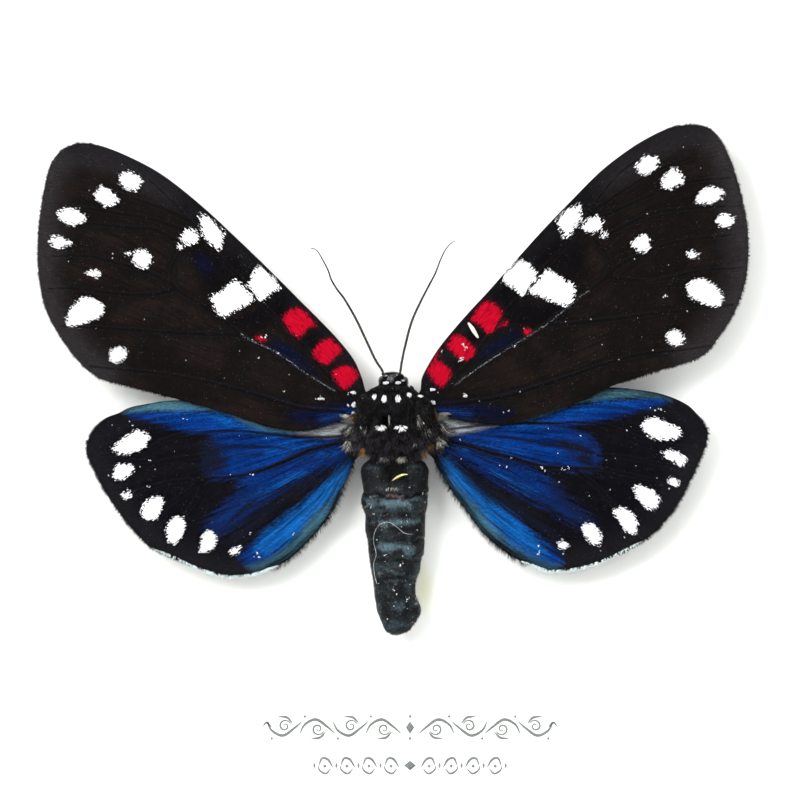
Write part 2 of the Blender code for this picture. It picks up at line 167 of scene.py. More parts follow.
def depth_inside(points: Array, outline: Array, reach: float = 12.0) -> Array:
    """Measure how deep points lie inside a closed outline.

    Args:
        points: Points as an (n, 2) array.
        outline: The outline's points, without a repeated end.
        reach: Distance past which the exact value doesn't matter.

    Returns:
        Distances in pixels, negative outside.
    """
    depth = np.full(len(points), -reach)
    low, high = outline.min(axis=0) - reach, outline.max(axis=0) + reach
    near = np.all((points > low) & (points < high), axis=1)
    if not near.any():
        return depth
    close = points[near]
    ring = np.vstack([outline, outline[:1]])
    gap, _ = path_gap(close, ring)
    inside = np.zeros(len(close), dtype=bool)
    for start, end in zip(ring, ring[1:]):
        crosses = (start[1] > close[:, 1]) != (end[1] > close[:, 1])
        rise = end[1] - start[1] if end[1] != start[1] else 1e-9
        inside ^= crosses & (close[:, 0] < (end[0] - start[0]) * (close[:, 1] - start[1]) / rise
                             + start[0])
    depth[near] = np.where(inside, gap, -gap)
    return depth


def ease(value: Array | float, low: float, high: float) -> Array:
    """Rise smoothly from 0 at low to 1 at high."""
    share = np.clip((np.asarray(value) - low) / (high - low), 0, 1)
    return share * share * (3 - 2 * share)


def unit(vectors: Array) -> Array:
    """Give vectors a length of 1."""
    return vectors / np.maximum(np.linalg.norm(vectors, axis=-1, keepdims=True), 1e-12)


def link_piece(name: str, mesh: Mesh, material: Material,
               replaced: Sequence[str] = ()) -> bpy.types.Object:
    """Put a finished mesh into the scene as a piece of the object.

    Args:
        name: The piece's name.
        mesh: Its mesh, in place.
        material: Its finish.
        replaced: CAD nodes that the piece stands for.

    Returns:
        The new object.
    """
    piece = bpy.data.objects.new(name, mesh)
    bpy.context.scene.collection.objects.link(piece)
    mesh.materials.clear()
    mesh.materials.append(material)
    mesh.shade_smooth()
    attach(piece, "root")
    if replaced:
        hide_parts(*replaced)
    LOG.info("%s: %d faces", name, len(mesh.polygons))
    return piece


def ringed_rod(sides: int, top: float, heights: Sequence[float]) -> BMesh:
    """Model a rod along +Z from 0 to 1, with a radius of 1 at its foot.

    Args:
        sides: Faces round it.
        top: Its radius at the far end.
        heights: Where rings of points lie between its ends.

    Returns:
        The rod, to be shaped and freed by the caller.
    """
    bm = bmesh.new()
    bmesh.ops.create_cone(bm, cap_ends=True, segments=sides, radius1=1.0, radius2=top, depth=1.0,
                          matrix=Matrix.Translation((0, 0, 0.5)))
    for height in heights:
        bmesh.ops.bisect_plane(bm, geom=[*bm.verts, *bm.edges, *bm.faces],
                               plane_co=(0, 0, height), plane_no=(0, 0, 1))
    return bm


def facing_out(count: int) -> Array:
    """Return normals that point from the board towards the glass."""
    return np.tile([0.0, -1.0, 0.0], (count, 1))


def mesh_of(name: str, bm: BMesh, outward: bool = True) -> Mesh:
    """Turn a bmesh into a mesh and free it.

    Args:
        name: The mesh's name.
        bm: The shape, which is freed.
        outward: Whether its faces are turned outwards first.

    Returns:
        The mesh.
    """
    if outward:
        bmesh.ops.recalc_face_normals(bm, faces=bm.faces)
    mesh = bpy.data.meshes.new(name)
    bm.to_mesh(mesh)
    bm.free()
    return mesh


def read_points(mesh: Mesh) -> Array:
    """Read a mesh's points as an (n, 3) array.

    Args:
        mesh: The mesh.

    Returns:
        Points in metres.
    """
    flat = np.empty(len(mesh.vertices) * 3)
    mesh.vertices.foreach_get("co", flat)
    return flat.reshape(-1, 3)


def write_points(mesh: Mesh, points: Array) -> None:
    """Write a mesh's points from an (n, 3) array."""
    mesh.vertices.foreach_set("co", points.ravel())
    mesh.update()


def write_layer(mesh: Mesh, name: str, values: Array) -> None:
    """Store one number for each point of a mesh under a name that materials read."""
    layer = mesh.attributes.new(name, "FLOAT", "POINT")
    layer.data.foreach_set("value", np.asarray(values, dtype=np.float32))


class Sheet:
    """Node sheet of one Principled material."""

    def __init__(self, name: str) -> None:
        """Start an empty sheet with its shader.

        Args:
            name: The material's name.
        """
        self.material = bpy.data.materials.new(name)
        self.material.use_nodes = True
        self.tree = self.material.node_tree
        self.shader = self.tree.nodes["Principled BSDF"]

    def put(self, kind: str, **values: object) -> bpy.types.Node:
        """Add a node and set its own properties.

        Args:
            kind: The node's type.
            **values: Its own properties.

        Returns:
            The node.
        """
        node = self.tree.nodes.new(kind)
        for key, value in values.items():
            setattr(node, key, value)
        return node

    def feed(self, socket: Socket, value: object) -> None:
        """Link a socket, or set its value where a plain number or colour is given.

        Args:
            socket: The socket.
            value: What it takes.
        """
        if isinstance(value, Socket):
            self.tree.links.new(value, socket)
        elif isinstance(value, tuple) and len(value) == 3 and socket.type == "RGBA":
            socket.default_value = (*value, 1.0)
        else:
            socket.default_value = value

    def place(self) -> Socket:
        """Return the Object coordinates."""
        return self.put("ShaderNodeTexCoord").outputs["Object"]

    def mapped(self, name: str) -> Socket:
        """Return one of the piece's own UV maps."""
        return self.put("ShaderNodeUVMap", uv_map=name).outputs["UV"]

    def layer(self, name: str) -> Socket:
        """Return a stored number of the mesh."""
        return self.put("ShaderNodeAttribute", attribute_name=name).outputs["Fac"]

    def stretch(self, vector: object, scale: Triple) -> Socket:
        """Scale a coordinate along its three axes.

        Args:
            vector: The coordinate.
            scale: Factors along its axes.

        Returns:
            The scaled coordinate.
        """
        node = self.put("ShaderNodeVectorMath", operation="MULTIPLY")
        self.feed(node.inputs[0], vector)
        node.inputs[1].default_value = scale
        return node.outputs[0]

    def noise(self, vector: object, scale: float, detail: float = 2.0, roughness: float = 0.5) -> Socket:
        """Return a noise value around one half.

        Args:
            vector: The coordinate.
            scale: How fine the noise is.
            detail: How many finer layers it has.
            roughness: How strong the finer layers are.

        Returns:
            The value.
        """
        node = self.put("ShaderNodeTexNoise")
        self.feed(node.inputs["Vector"], vector)
        node.inputs["Scale"].default_value = scale
        node.inputs["Detail"].default_value = detail
        node.inputs["Roughness"].default_value = roughness
        return node.outputs["Fac"]

    def cells(self, vector: object) -> Socket:
        """Return a value that is random for each scale-shaped cell.

        Args:
            vector: The coordinate.

        Returns:
            The value.
        """
        node = self.put("ShaderNodeTexVoronoi")
        self.feed(node.inputs["Vector"], vector)
        node.inputs["Scale"].default_value = 1.0
        return node.outputs["Color"]

    def sums(self, operation: str, a: object, b: object = 0.0, c: object = 0.0) -> Socket:
        """Return the result of a maths node.

        Args:
            operation: The kind of sum.
            a: First value.
            b: Second value.
            c: Third value.

        Returns:
            The result.
        """
        node = self.put("ShaderNodeMath", operation=operation)
        for socket, value in zip(node.inputs, (a, b, c)):
            self.feed(socket, value)
        return node.outputs[0]

    def times(self, a: object, b: object) -> Socket:
        """Return a times b."""
        return self.sums("MULTIPLY", a, b)

    def ramp(self, value: object, slope: float, start: object) -> Socket:
        """Return a value times a slope, plus a start."""
        return self.sums("MULTIPLY_ADD", value, slope, start)

    def rise(self, value: object, low: float, high: float) -> Socket:
        """Rise smoothly from 0 at low to 1 at high.

        Args:
            value: The value.
            low: Where the rise starts.
            high: Where it ends.

        Returns:
            The risen value.
        """
        node = self.put("ShaderNodeMapRange", interpolation_type="SMOOTHSTEP")
        self.feed(node.inputs["Value"], value)
        node.inputs["From Min"].default_value = low
        node.inputs["From Max"].default_value = high
        return node.outputs["Result"]

    def blend(self, share: object, a: object, b: object) -> Socket:
        """Mix two colours.

        Args:
            share: Share of the second colour.
            a: First colour.
            b: Second colour.

        Returns:
            The mixed colour.
        """
        node = self.put("ShaderNodeMix", data_type="RGBA")
        self.feed(node.inputs["Factor"], share)
        self.feed(node.inputs[6], a)
        self.feed(node.inputs[7], b)
        return node.outputs[2]

    def bump(self, height: object, distance: float, strength: float = 1.0,
             under: object = None) -> Socket:
        """Return a normal raised by a height.

        Args:
            height: The height.
            distance: Its full depth in metres.
            strength: How much of it shows.
            under: A normal that it is laid over.

        Returns:
            The normal.
        """
        node = self.put("ShaderNodeBump")
        node.inputs["Distance"].default_value = distance
        node.inputs["Strength"].default_value = strength
        self.feed(node.inputs["Height"], height)
        if under is not None:
            self.feed(node.inputs["Normal"], under)
        return node.outputs["Normal"]

    def done(self, **values: object) -> Material:
        """Feed the shader's inputs, spaces written as underscores, and return the material.

        Args:
            **values: What the inputs take.

        Returns:
            The material.
        """
        for key, value in values.items():
            self.feed(self.shader.inputs[key.replace("_", " ")], value)
        return self.material


@dataclass(frozen=True)
class PaintedWood:
    """Black satin paint over close-grained wood."""

    name: str = "black_paint"
    colour: Triple = (0.010, 0.010, 0.011)
    worn: Triple = (0.035, 0.028, 0.022)

    def make(self) -> Material:
        """Build the finish: a faint grain under the paint and dulled patches.

        Returns:
            The material.
        """
        sheet = Sheet(self.name)
        place = sheet.place()
        grain = sheet.noise(sheet.stretch(place, (60, 420, 420)), 1.0, 6, 0.6)
        cloud = sheet.noise(place, 45, 3)
        speck = sheet.rise(sheet.noise(place, 900, 2), 0.70, 0.78)
        colour = sheet.blend(sheet.times(speck, 0.35), self.colour, self.worn)
        gloss = sheet.ramp(cloud, 0.22, 0.26)
        relief = sheet.bump(grain, 0.00006, 0.5)
        return sheet.done(Base_Color=colour, Roughness=gloss, Normal=relief,
                          Coat_Weight=0.15, Coat_Roughness=0.35)


@dataclass(frozen=True)
class ClearGlass:
    """Clean clear picture glass."""

    name: str = "picture_glass"
    ior: float = 1.45

    def make(self) -> Material:
        """Build the finish: clear, with the faintest waviness.

        Returns:
            The material.
        """
        sheet = Sheet(self.name)
        wave = sheet.noise(sheet.place(), 18, 1)
        return sheet.done(Base_Color=(0.985, 0.995, 0.99), Roughness=0.0, IOR=self.ior,
                          Transmission_Weight=1.0, Normal=sheet.bump(wave, 0.00001, 0.2))


@dataclass(frozen=True)
class PaperFace:
    """Matt paper skin of a foam strip or a board."""

    name: str
    colour: Triple
    stain: tuple[float, float] | None = None

    def make(self) -> Material:
        """Build the finish: fine tooth, and a faint yellow stain where one is given.

        Returns:
            The material.
        """
        sheet = Sheet(self.name)
        place = sheet.place()
        tooth = sheet.noise(place, 5200, 3, 0.7)
        cloud = sheet.noise(place, 60, 3)
        pale = tuple(value * 0.975 for value in self.colour)
        colour = sheet.blend(cloud, self.colour, pale)
        speck = sheet.rise(sheet.noise(place, 1500, 1), 0.795, 0.82)
        colour = sheet.blend(sheet.times(speck, 0.25), colour, (0.6, 0.6, 0.58))
        if self.stain:
            middle = at_pixel(np.array([self.stain]), 0)[0]
            away = sheet.put("ShaderNodeVectorMath", operation="SUBTRACT")
            sheet.feed(away.inputs[0], place)
            away.inputs[1].default_value = middle
            length = sheet.put("ShaderNodeVectorMath", operation="LENGTH")
            sheet.feed(length.inputs[0], sheet.stretch(away.outputs[0], (1.3, 1.0, 0.55)))
            halo = sheet.rise(length.outputs["Value"], 1.6 * MM, 0.2 * MM)
            colour = sheet.blend(sheet.times(halo, 0.75), colour, (0.86, 0.87, 0.60))
        return sheet.done(Base_Color=colour, Roughness=0.85, Specular_IOR_Level=0.25,
                          Normal=sheet.bump(tooth, 0.00001, 0.35))


@dataclass(frozen=True)
class PressedFibre:
    """Brown hardboard."""

    name: str = "hardboard"

    def make(self) -> Material:
        """Build the finish: matted fibres and darker specks.

        Returns:
            The material.
        """
        sheet = Sheet(self.name)
        place = sheet.place()
        fibre = sheet.noise(place, 900, 6, 0.7)
        cloud = sheet.noise(place, 40, 3)
        colour = sheet.blend(cloud, (0.20, 0.105, 0.05), (0.29, 0.165, 0.085))
        colour = sheet.blend(sheet.rise(fibre, 0.52, 0.7), colour, (0.12, 0.06, 0.03))
        return sheet.done(Base_Color=colour, Roughness=0.72, Normal=sheet.bump(fibre, 0.00006, 0.6))


@dataclass(frozen=True)
class BrushedMetal:
    """Drawn or stamped metal with fine brush lines."""

    name: str
    colour: Triple
    tarnish: Triple

    def make(self) -> Material:
        """Build the finish: brush lines, tarnish in clouds and small scratches.

        Returns:
            The material.
        """
        sheet = Sheet(self.name)
        place = sheet.place()
        lines = sheet.noise(sheet.stretch(place, (300, 6000, 6000)), 1.0, 4, 0.6)
        cloud = sheet.rise(sheet.noise(place, 260, 4), 0.45, 0.75)
        colour = sheet.blend(cloud, self.colour, self.tarnish)
        gloss = sheet.ramp(lines, 0.3, 0.24)
        return sheet.done(Base_Color=colour, Metallic=0.45, Roughness=gloss,
                          Normal=sheet.bump(lines, 0.00001, 0.4))


@dataclass(frozen=True)
class WingScales:
    """Scale-covered wing: dark ground, blue and teal layers, red and white spots."""

    name: str
    ground: Triple = (0.0044, 0.0034, 0.0034)
    umber: Triple = (0.0104, 0.0066, 0.0055)
    rim: Triple = (0.0205, 0.0180, 0.0195)
    # painted sheen: bluish tone along the front edge, standing in for light glancing off it
    front: Triple = (0.0062, 0.0060, 0.0078)
    blue: Triple = (0.0012, 0.0032, 0.0190)
    azure: Triple = (0.0015, 0.0250, 0.1400)

    def make(self) -> Material:
        """Build the finish from the layers that the wing's mesh stores.

        Returns:
            The material.
        """
        sheet = Sheet(self.name)
        flow, even = sheet.mapped("Flow"), sheet.mapped("Rows")
        fine = sheet.noise(sheet.stretch(even, (0.50, 0.95, 1)), 1.0, 2, 0.6)
        rows = sheet.noise(sheet.stretch(even, (0.13, 0.55, 1)), 1.0, 3, 0.6)
        rays = sheet.noise(sheet.stretch(flow, (0.020, 0.36, 1)), 1.0, 4, 0.6)
        broad = sheet.noise(sheet.stretch(flow, (0.011, 0.13, 1)), 1.0, 3, 0.6)
        scales = sheet.cells(sheet.stretch(even, (0.42, 1.35, 1)))
        mottle = sheet.ramp(fine, 1.1, sheet.ramp(rows, 0.95, -0.37))
        mottle = sheet.ramp(scales, 0.36, mottle)
        colour = self.ground_colour(sheet, rays)
        colour = self.tinted(sheet, colour, mottle)
        bright = sheet.times(mottle, sheet.ramp(broad, 3.2, -0.6))
        colour = self.add_hues(sheet, colour, rays, scales, (mottle, bright))
        colour = self.add_veins(sheet, colour, flow)
        colour = self.add_spots(sheet, colour, (fine, rows, scales))
        relief = sheet.bump(fine, 0.00004, 0.5)
        relief = sheet.bump(rows, 0.00005, 0.35, relief)
        return sheet.done(Base_Color=colour, Roughness=0.55, Normal=relief, Specular_IOR_Level=0.012)

    def ground_colour(self, sheet: Sheet, rays: object) -> Socket:
        """Return the dark ground: browner between the veins, greyer near the margin, with a painted bluish
        sheen along the front edge.

        Args:
            sheet: The finish's sheet.
            rays: Noise drawn out along the wing.

        Returns:
            The colour.
        """
        cloud = sheet.noise(sheet.place(), 260, 3, 0.6)
        edge = sheet.ramp(cloud, 16, sheet.layer("edge"))
        inner = sheet.rise(edge, 12, 44)
        front = sheet.rise(sheet.layer("front_gap"), 16, 44)
        between = sheet.rise(sheet.layer("vein_gap"), 1.5, 10)
        umber = sheet.times(sheet.times(inner, front),
                            sheet.times(between, sheet.rise(cloud, 0.36, 0.62)))
        umber = sheet.times(umber, sheet.rise(rays, 0.34, 0.56))
        colour = sheet.blend(inner, self.rim, self.ground)
        colour = sheet.blend(umber, colour, self.umber)
        # painted sheen: a bluish tone along the front edge stands in for light glancing off it
        painted_costal_sheen = sheet.times(sheet.rise(sheet.layer("front_gap"), 26, 6), 0.7)
        colour = sheet.blend(painted_costal_sheen, colour, self.front)
        return sheet.blend(sheet.layer("velvet"), colour, (0.0018, 0.0016, 0.0022))

    def add_hues(self, sheet: Sheet, colour: object, rays: object, scales: object,
                 strengths: tuple[object, object]) -> Socket:
        """Lay the streaked blue and teal layers, then the dark rays, over a colour.

        Args:
            sheet: The finish's sheet.
            colour: The colour so far.
            rays: Noise drawn out along the wing.
            scales: A random value for each scale.
            strengths: Brightness of the pale and of the blue layers.

        Returns:
            The colour with them.
        """
        plain, bright = strengths
        streak = sheet.ramp(rays, 4.0, sheet.ramp(scales, 0.8, -2.4))
        for hue, tone, bite, strength in ((Hue.PALE, (0.350, 0.370, 0.390), 0.15, plain),
                                          (Hue.TEAL, (0.052, 0.140, 0.185), 0.22, plain),
                                          (Hue.BLUE, self.blue, 0.38, bright),
                                          (Hue.AZURE, self.azure, 0.42, bright)):
            layer = sheet.layer(hue.value)
            share = sheet.ramp(streak, bite, layer)
            share = sheet.times(sheet.rise(share, 0.12, 1.05), sheet.rise(layer, 0.01, 0.20))
            colour = sheet.blend(share, colour, self.tinted(sheet, tone, strength))
        shade = sheet.ramp(streak, 0.4, sheet.layer("shade"))
        shade = sheet.times(sheet.rise(shade, 0.1, 0.8), sheet.rise(sheet.layer("shade"), 0.02, 0.2))
        return sheet.blend(shade, colour, (0.0042, 0.0050, 0.0105))

    @staticmethod
    def add_veins(sheet: Sheet, colour: object, flow: object) -> Socket:
        """Draw dark veins, a faint painted sheen beside them, and the dust on the main one.

        Args:
            sheet: The finish's sheet.
            colour: The colour so far.
            flow: The UV map that runs along the wing.

        Returns:
            The colour with them.
        """
        gap = sheet.layer("vein_gap")
        # painted sheen: lighter lines beside the veins stand in for light on the vein relief
        side = sheet.times(sheet.rise(gap, 3.6, 2.4), sheet.rise(gap, 1.5, 2.3))
        colour = sheet.blend(sheet.times(side, 0.05), colour, (0.050, 0.044, 0.044))
        vein = sheet.times(sheet.rise(gap, 2.1, 0.7), 0.86)
        colour = sheet.blend(vein, colour, (0.0026, 0.0023, 0.0025))
        dust = sheet.times(sheet.rise(sheet.layer("dust_gap"), 1.3, 0.2),
                           sheet.rise(sheet.noise(flow, 0.55, 1), 0.52, 0.62))
        colour = sheet.blend(dust, colour, (0.22, 0.23, 0.26))
        scatter = sheet.rise(sheet.noise(sheet.place(), 9500, 0), 0.785, 0.815)
        return sheet.blend(sheet.times(scatter, 0.25), colour, (0.15, 0.145, 0.16))

    @staticmethod
    def add_spots(sheet: Sheet, colour: object, grain: tuple[object, object, object]) -> Socket:
        """Lay the red and the white spots, whose edges break up scale by scale.

        Args:
            sheet: The finish's sheet.
            colour: The colour so far.
            grain: Fine noise, row noise and a random value for each scale.

        Returns:
            The colour with them.
        """
        fine, rows, scales = grain
        jag = sheet.ramp(fine, 5.0, sheet.ramp(scales, 4.6, -5.30))
        jag = sheet.ramp(rows, 3.0, sheet.sums("SUBTRACT", jag, 1.6))
        jag = sheet.times(jag, sheet.ramp(sheet.layer("loose"), 1.2, 1.0))
        red = sheet.sums("ADD", sheet.layer("red"), jag)
        halo = sheet.times(sheet.rise(red, -3.4, -0.2), 0.6)
        colour = sheet.blend(halo, colour, (0.085, 0.0020, 0.0075))
        tone = sheet.blend(sheet.rise(rows, 0.34, 0.60), (0.22, 0.0012, 0.009), (0.41, 0.0018, 0.0150))
        colour = sheet.blend(sheet.rise(red, -0.5, 0.7), colour, tone)
        white = sheet.rise(sheet.sums("ADD", sheet.layer("white"), jag), -0.35, 0.45)
        tone = sheet.blend(sheet.rise(fine, 0.28, 0.56), (0.56, 0.55, 0.68), (0.86, 0.86, 0.87))
        return sheet.blend(white, colour, tone)

    @staticmethod
    def tinted(sheet: Sheet, colour: object, strength: object) -> Socket:
        """Multiply a colour by a number that varies over the surface.

        Args:
            sheet: The finish's sheet.
            colour: The colour.
            strength: The number.

        Returns:
            The product.
        """
        node = sheet.put("ShaderNodeVectorMath", operation="SCALE")
        if isinstance(colour, tuple):
            node.inputs[0].default_value = colour
        else:
            sheet.feed(node.inputs[0], colour)
        sheet.feed(node.inputs["Scale"], strength)
        return node.outputs[0]


@dataclass(frozen=True)
class Fur:
    """Hair or scales of one tone, a little darker or lighter from place to place."""

    name: str
    dark: Triple
    light: Triple
    roughness: float = 0.6
    shine: float = 0.12

    def make(self) -> Material:
        """Build the finish.

        Returns:
            The material.
        """
        sheet = Sheet(self.name)
        place = sheet.place()
        patch = sheet.noise(place, 1500, 2, 0.6)
        strand = sheet.noise(place, 14000, 1)
        share = sheet.sums("ADD", sheet.times(patch, 0.5), sheet.times(sheet.noise(place, 7000, 1), 0.5))
        colour = sheet.blend(sheet.rise(share, 0.42, 0.62), self.dark, self.light)
        return sheet.done(Base_Color=colour, Roughness=self.roughness,
                          Specular_IOR_Level=self.shine,
                          Normal=sheet.bump(strand, 0.00002, 0.4))


@dataclass(frozen=True)
class AbdomenSkin:
    """Close dark scales with blue-grey patches and pale specks."""

    name: str = "abdomen_scales"

    def make(self) -> Material:
        """Build the finish from the layers that the abdomen's mesh stores.

        Returns:
            The material.
        """
        sheet = Sheet(self.name)
        place = sheet.place()
        scale = sheet.noise(sheet.stretch(place, (7000, 7000, 3600)), 1.0, 2, 0.6)
        patch = sheet.noise(place, 900, 4, 0.6)
        colour = sheet.blend(sheet.rise(patch, 0.40, 0.62), (0.0040, 0.0046, 0.0055),
                             (0.0135, 0.0205, 0.0230))
        sides = sheet.layer("flank")
        colour = sheet.blend(sheet.times(sides, 0.75), colour, (0.0105, 0.0086, 0.0068))
        share = sheet.sums("ADD", sheet.layer("bloom"), sheet.ramp(patch, 2.6, -1.35))
        bloom = sheet.times(sheet.rise(share, 0.1, 1.0), sheet.rise(sheet.layer("bloom"), 0, 0.4))
        colour = sheet.blend(bloom, colour, (0.060, 0.096, 0.118))
        # painted shade darkens the segment creases; the same layer also darkens the saddle, the base and the
        # tail end
        colour = sheet.blend(sheet.layer("crease_shade_and_dark"), colour, (0.0030, 0.0028, 0.0036))
        colour = WingScales.tinted(sheet, colour, sheet.ramp(scale, 3.0, -0.5))
        blush = sheet.times(sheet.layer("blush"), sheet.rise(scale, 0.3, 0.6))
        colour = sheet.blend(blush, colour, (0.16, 0.085, 0.085))
        speck = sheet.rise(sheet.noise(place, 6500, 0), 0.76, 0.80)
        colour = sheet.blend(sheet.times(speck, 0.5), colour, (0.20, 0.22, 0.24))
        relief = sheet.bump(patch, 0.00012, 0.7)
        relief = sheet.bump(scale, 0.00005, 0.6, relief)
        return sheet.done(Base_Color=colour, Roughness=0.5, Specular_IOR_Level=0.12, Normal=relief)


@dataclass(frozen=True)
class EyeFacets:
    """Dull olive-black compound eye."""

    name: str = "eye_facets"

    def make(self) -> Material:
        """Build the finish: fine facets.

        Returns:
            The material.
        """
        sheet = Sheet(self.name)
        facet = sheet.put("ShaderNodeTexVoronoi")
        sheet.feed(facet.inputs["Vector"], sheet.place())
        facet.inputs["Scale"].default_value = 16000
        colour = sheet.blend(facet.outputs["Distance"], (0.017, 0.017, 0.011), (0.005, 0.005, 0.004))
        return sheet.done(Base_Color=colour, Roughness=0.28,
                          Normal=sheet.bump(facet.outputs["Distance"], 0.00002, 0.6))


@dataclass(frozen=True)
class SetGlue:
    """Clear glue that has set with a soft gloss."""

    name: str = "set_glue"

    def make(self) -> Material:
        """Build the finish: slightly milky and lumpy.

        Returns:
            The material.
        """
        sheet = Sheet(self.name)
        lump = sheet.noise(sheet.place(), 1500, 2)
        colour = sheet.blend(lump, (0.80, 0.76, 0.62), (0.70, 0.66, 0.50))
        return sheet.done(Base_Color=colour, Roughness=0.22, Transmission_Weight=0.5,
                          Normal=sheet.bump(lump, 0.0001, 0.5))


@dataclass(frozen=True)
class PrintInk:
    """Grey ink, thin enough for the paper's tooth to break it."""

    name: str = "grey_ink"

    def make(self) -> Material:
        """Build the finish.

        Returns:
            The material.
        """
        sheet = Sheet(self.name)
        place = sheet.place()
        tooth = sheet.noise(place, 9000, 2)
        colour = sheet.blend(sheet.rise(tooth, 0.35, 0.75), (0.135, 0.150, 0.140), (0.260, 0.270, 0.260))
        return sheet.done(Base_Color=colour, Roughness=0.8, Specular_IOR_Level=0.2,
                          Normal=sheet.bump(tooth, 0.000005, 0.3))


@dataclass(frozen=True)
class Patch:
    """Soft-edged area of one colour layer."""

    hue: Hue
    strength: float
    feather: float
    outline: Path

    def weigh(self, points: Array) -> Array:
        """Return how much of the colour each point takes."""
        depth = depth_inside(points, smooth_path(self.outline, 48, closed=True), self.feather + 4)
        return self.strength * ease(depth, -self.feather, self.feather)


@dataclass(frozen=True)
class Streak:
    """Soft line of one colour layer, tapering to both ends."""

    hue: Hue
    strength: float
    width: float
    route: Path

    def weigh(self, points: Array) -> Array:
        """Return how much of the colour each point takes.

        Args:
            points: Pixels as an (n, 2) array.

        Returns:
            A share for each point.
        """
        gap, along = path_gap(points, smooth_path(self.route, 24))
        taper = np.sin(math.pi * np.clip(along, 0.06, 0.94)) ** 0.5
        return self.strength * (1 - ease(gap, 0, self.width * 1.4)) * taper


@dataclass(frozen=True)
class Fringe:
    """Hairs along part of a wing's margin, from one share of its outline to another.

    Lengths and the inset are in pixels, and the density is in hairs a pixel.
    """

    name: str
    start: float
    end: float
    length: float
    density: float
    white: bool = False
    lean: float = 0.0
    inset: float = 1.2
    fineness: float = 1.0


@dataclass(frozen=True)
class WingPlan:
    """Where one wing's edges, spots and veins lie.

    The root, front, outer and inner edges meet at the wing's four corners. A white spot is how
    loosely its edge's scales lie, then its outline. A dot is its pixel and its radius in pixels.
    """

    node: str
    slot: str
    lift: float
    root: Path
    front: Path
    outer: Path
    inner: Path
    white: tuple[tuple[float, Path], ...]
    veins: tuple[Path, ...]
    dusted: Path = ""
    red: tuple[Path, ...] = ()
    dots: str = ""
    layers: tuple[Patch | Streak, ...] = ()
    fringes: tuple[Fringe, ...] = ()
    hairs: int = 0


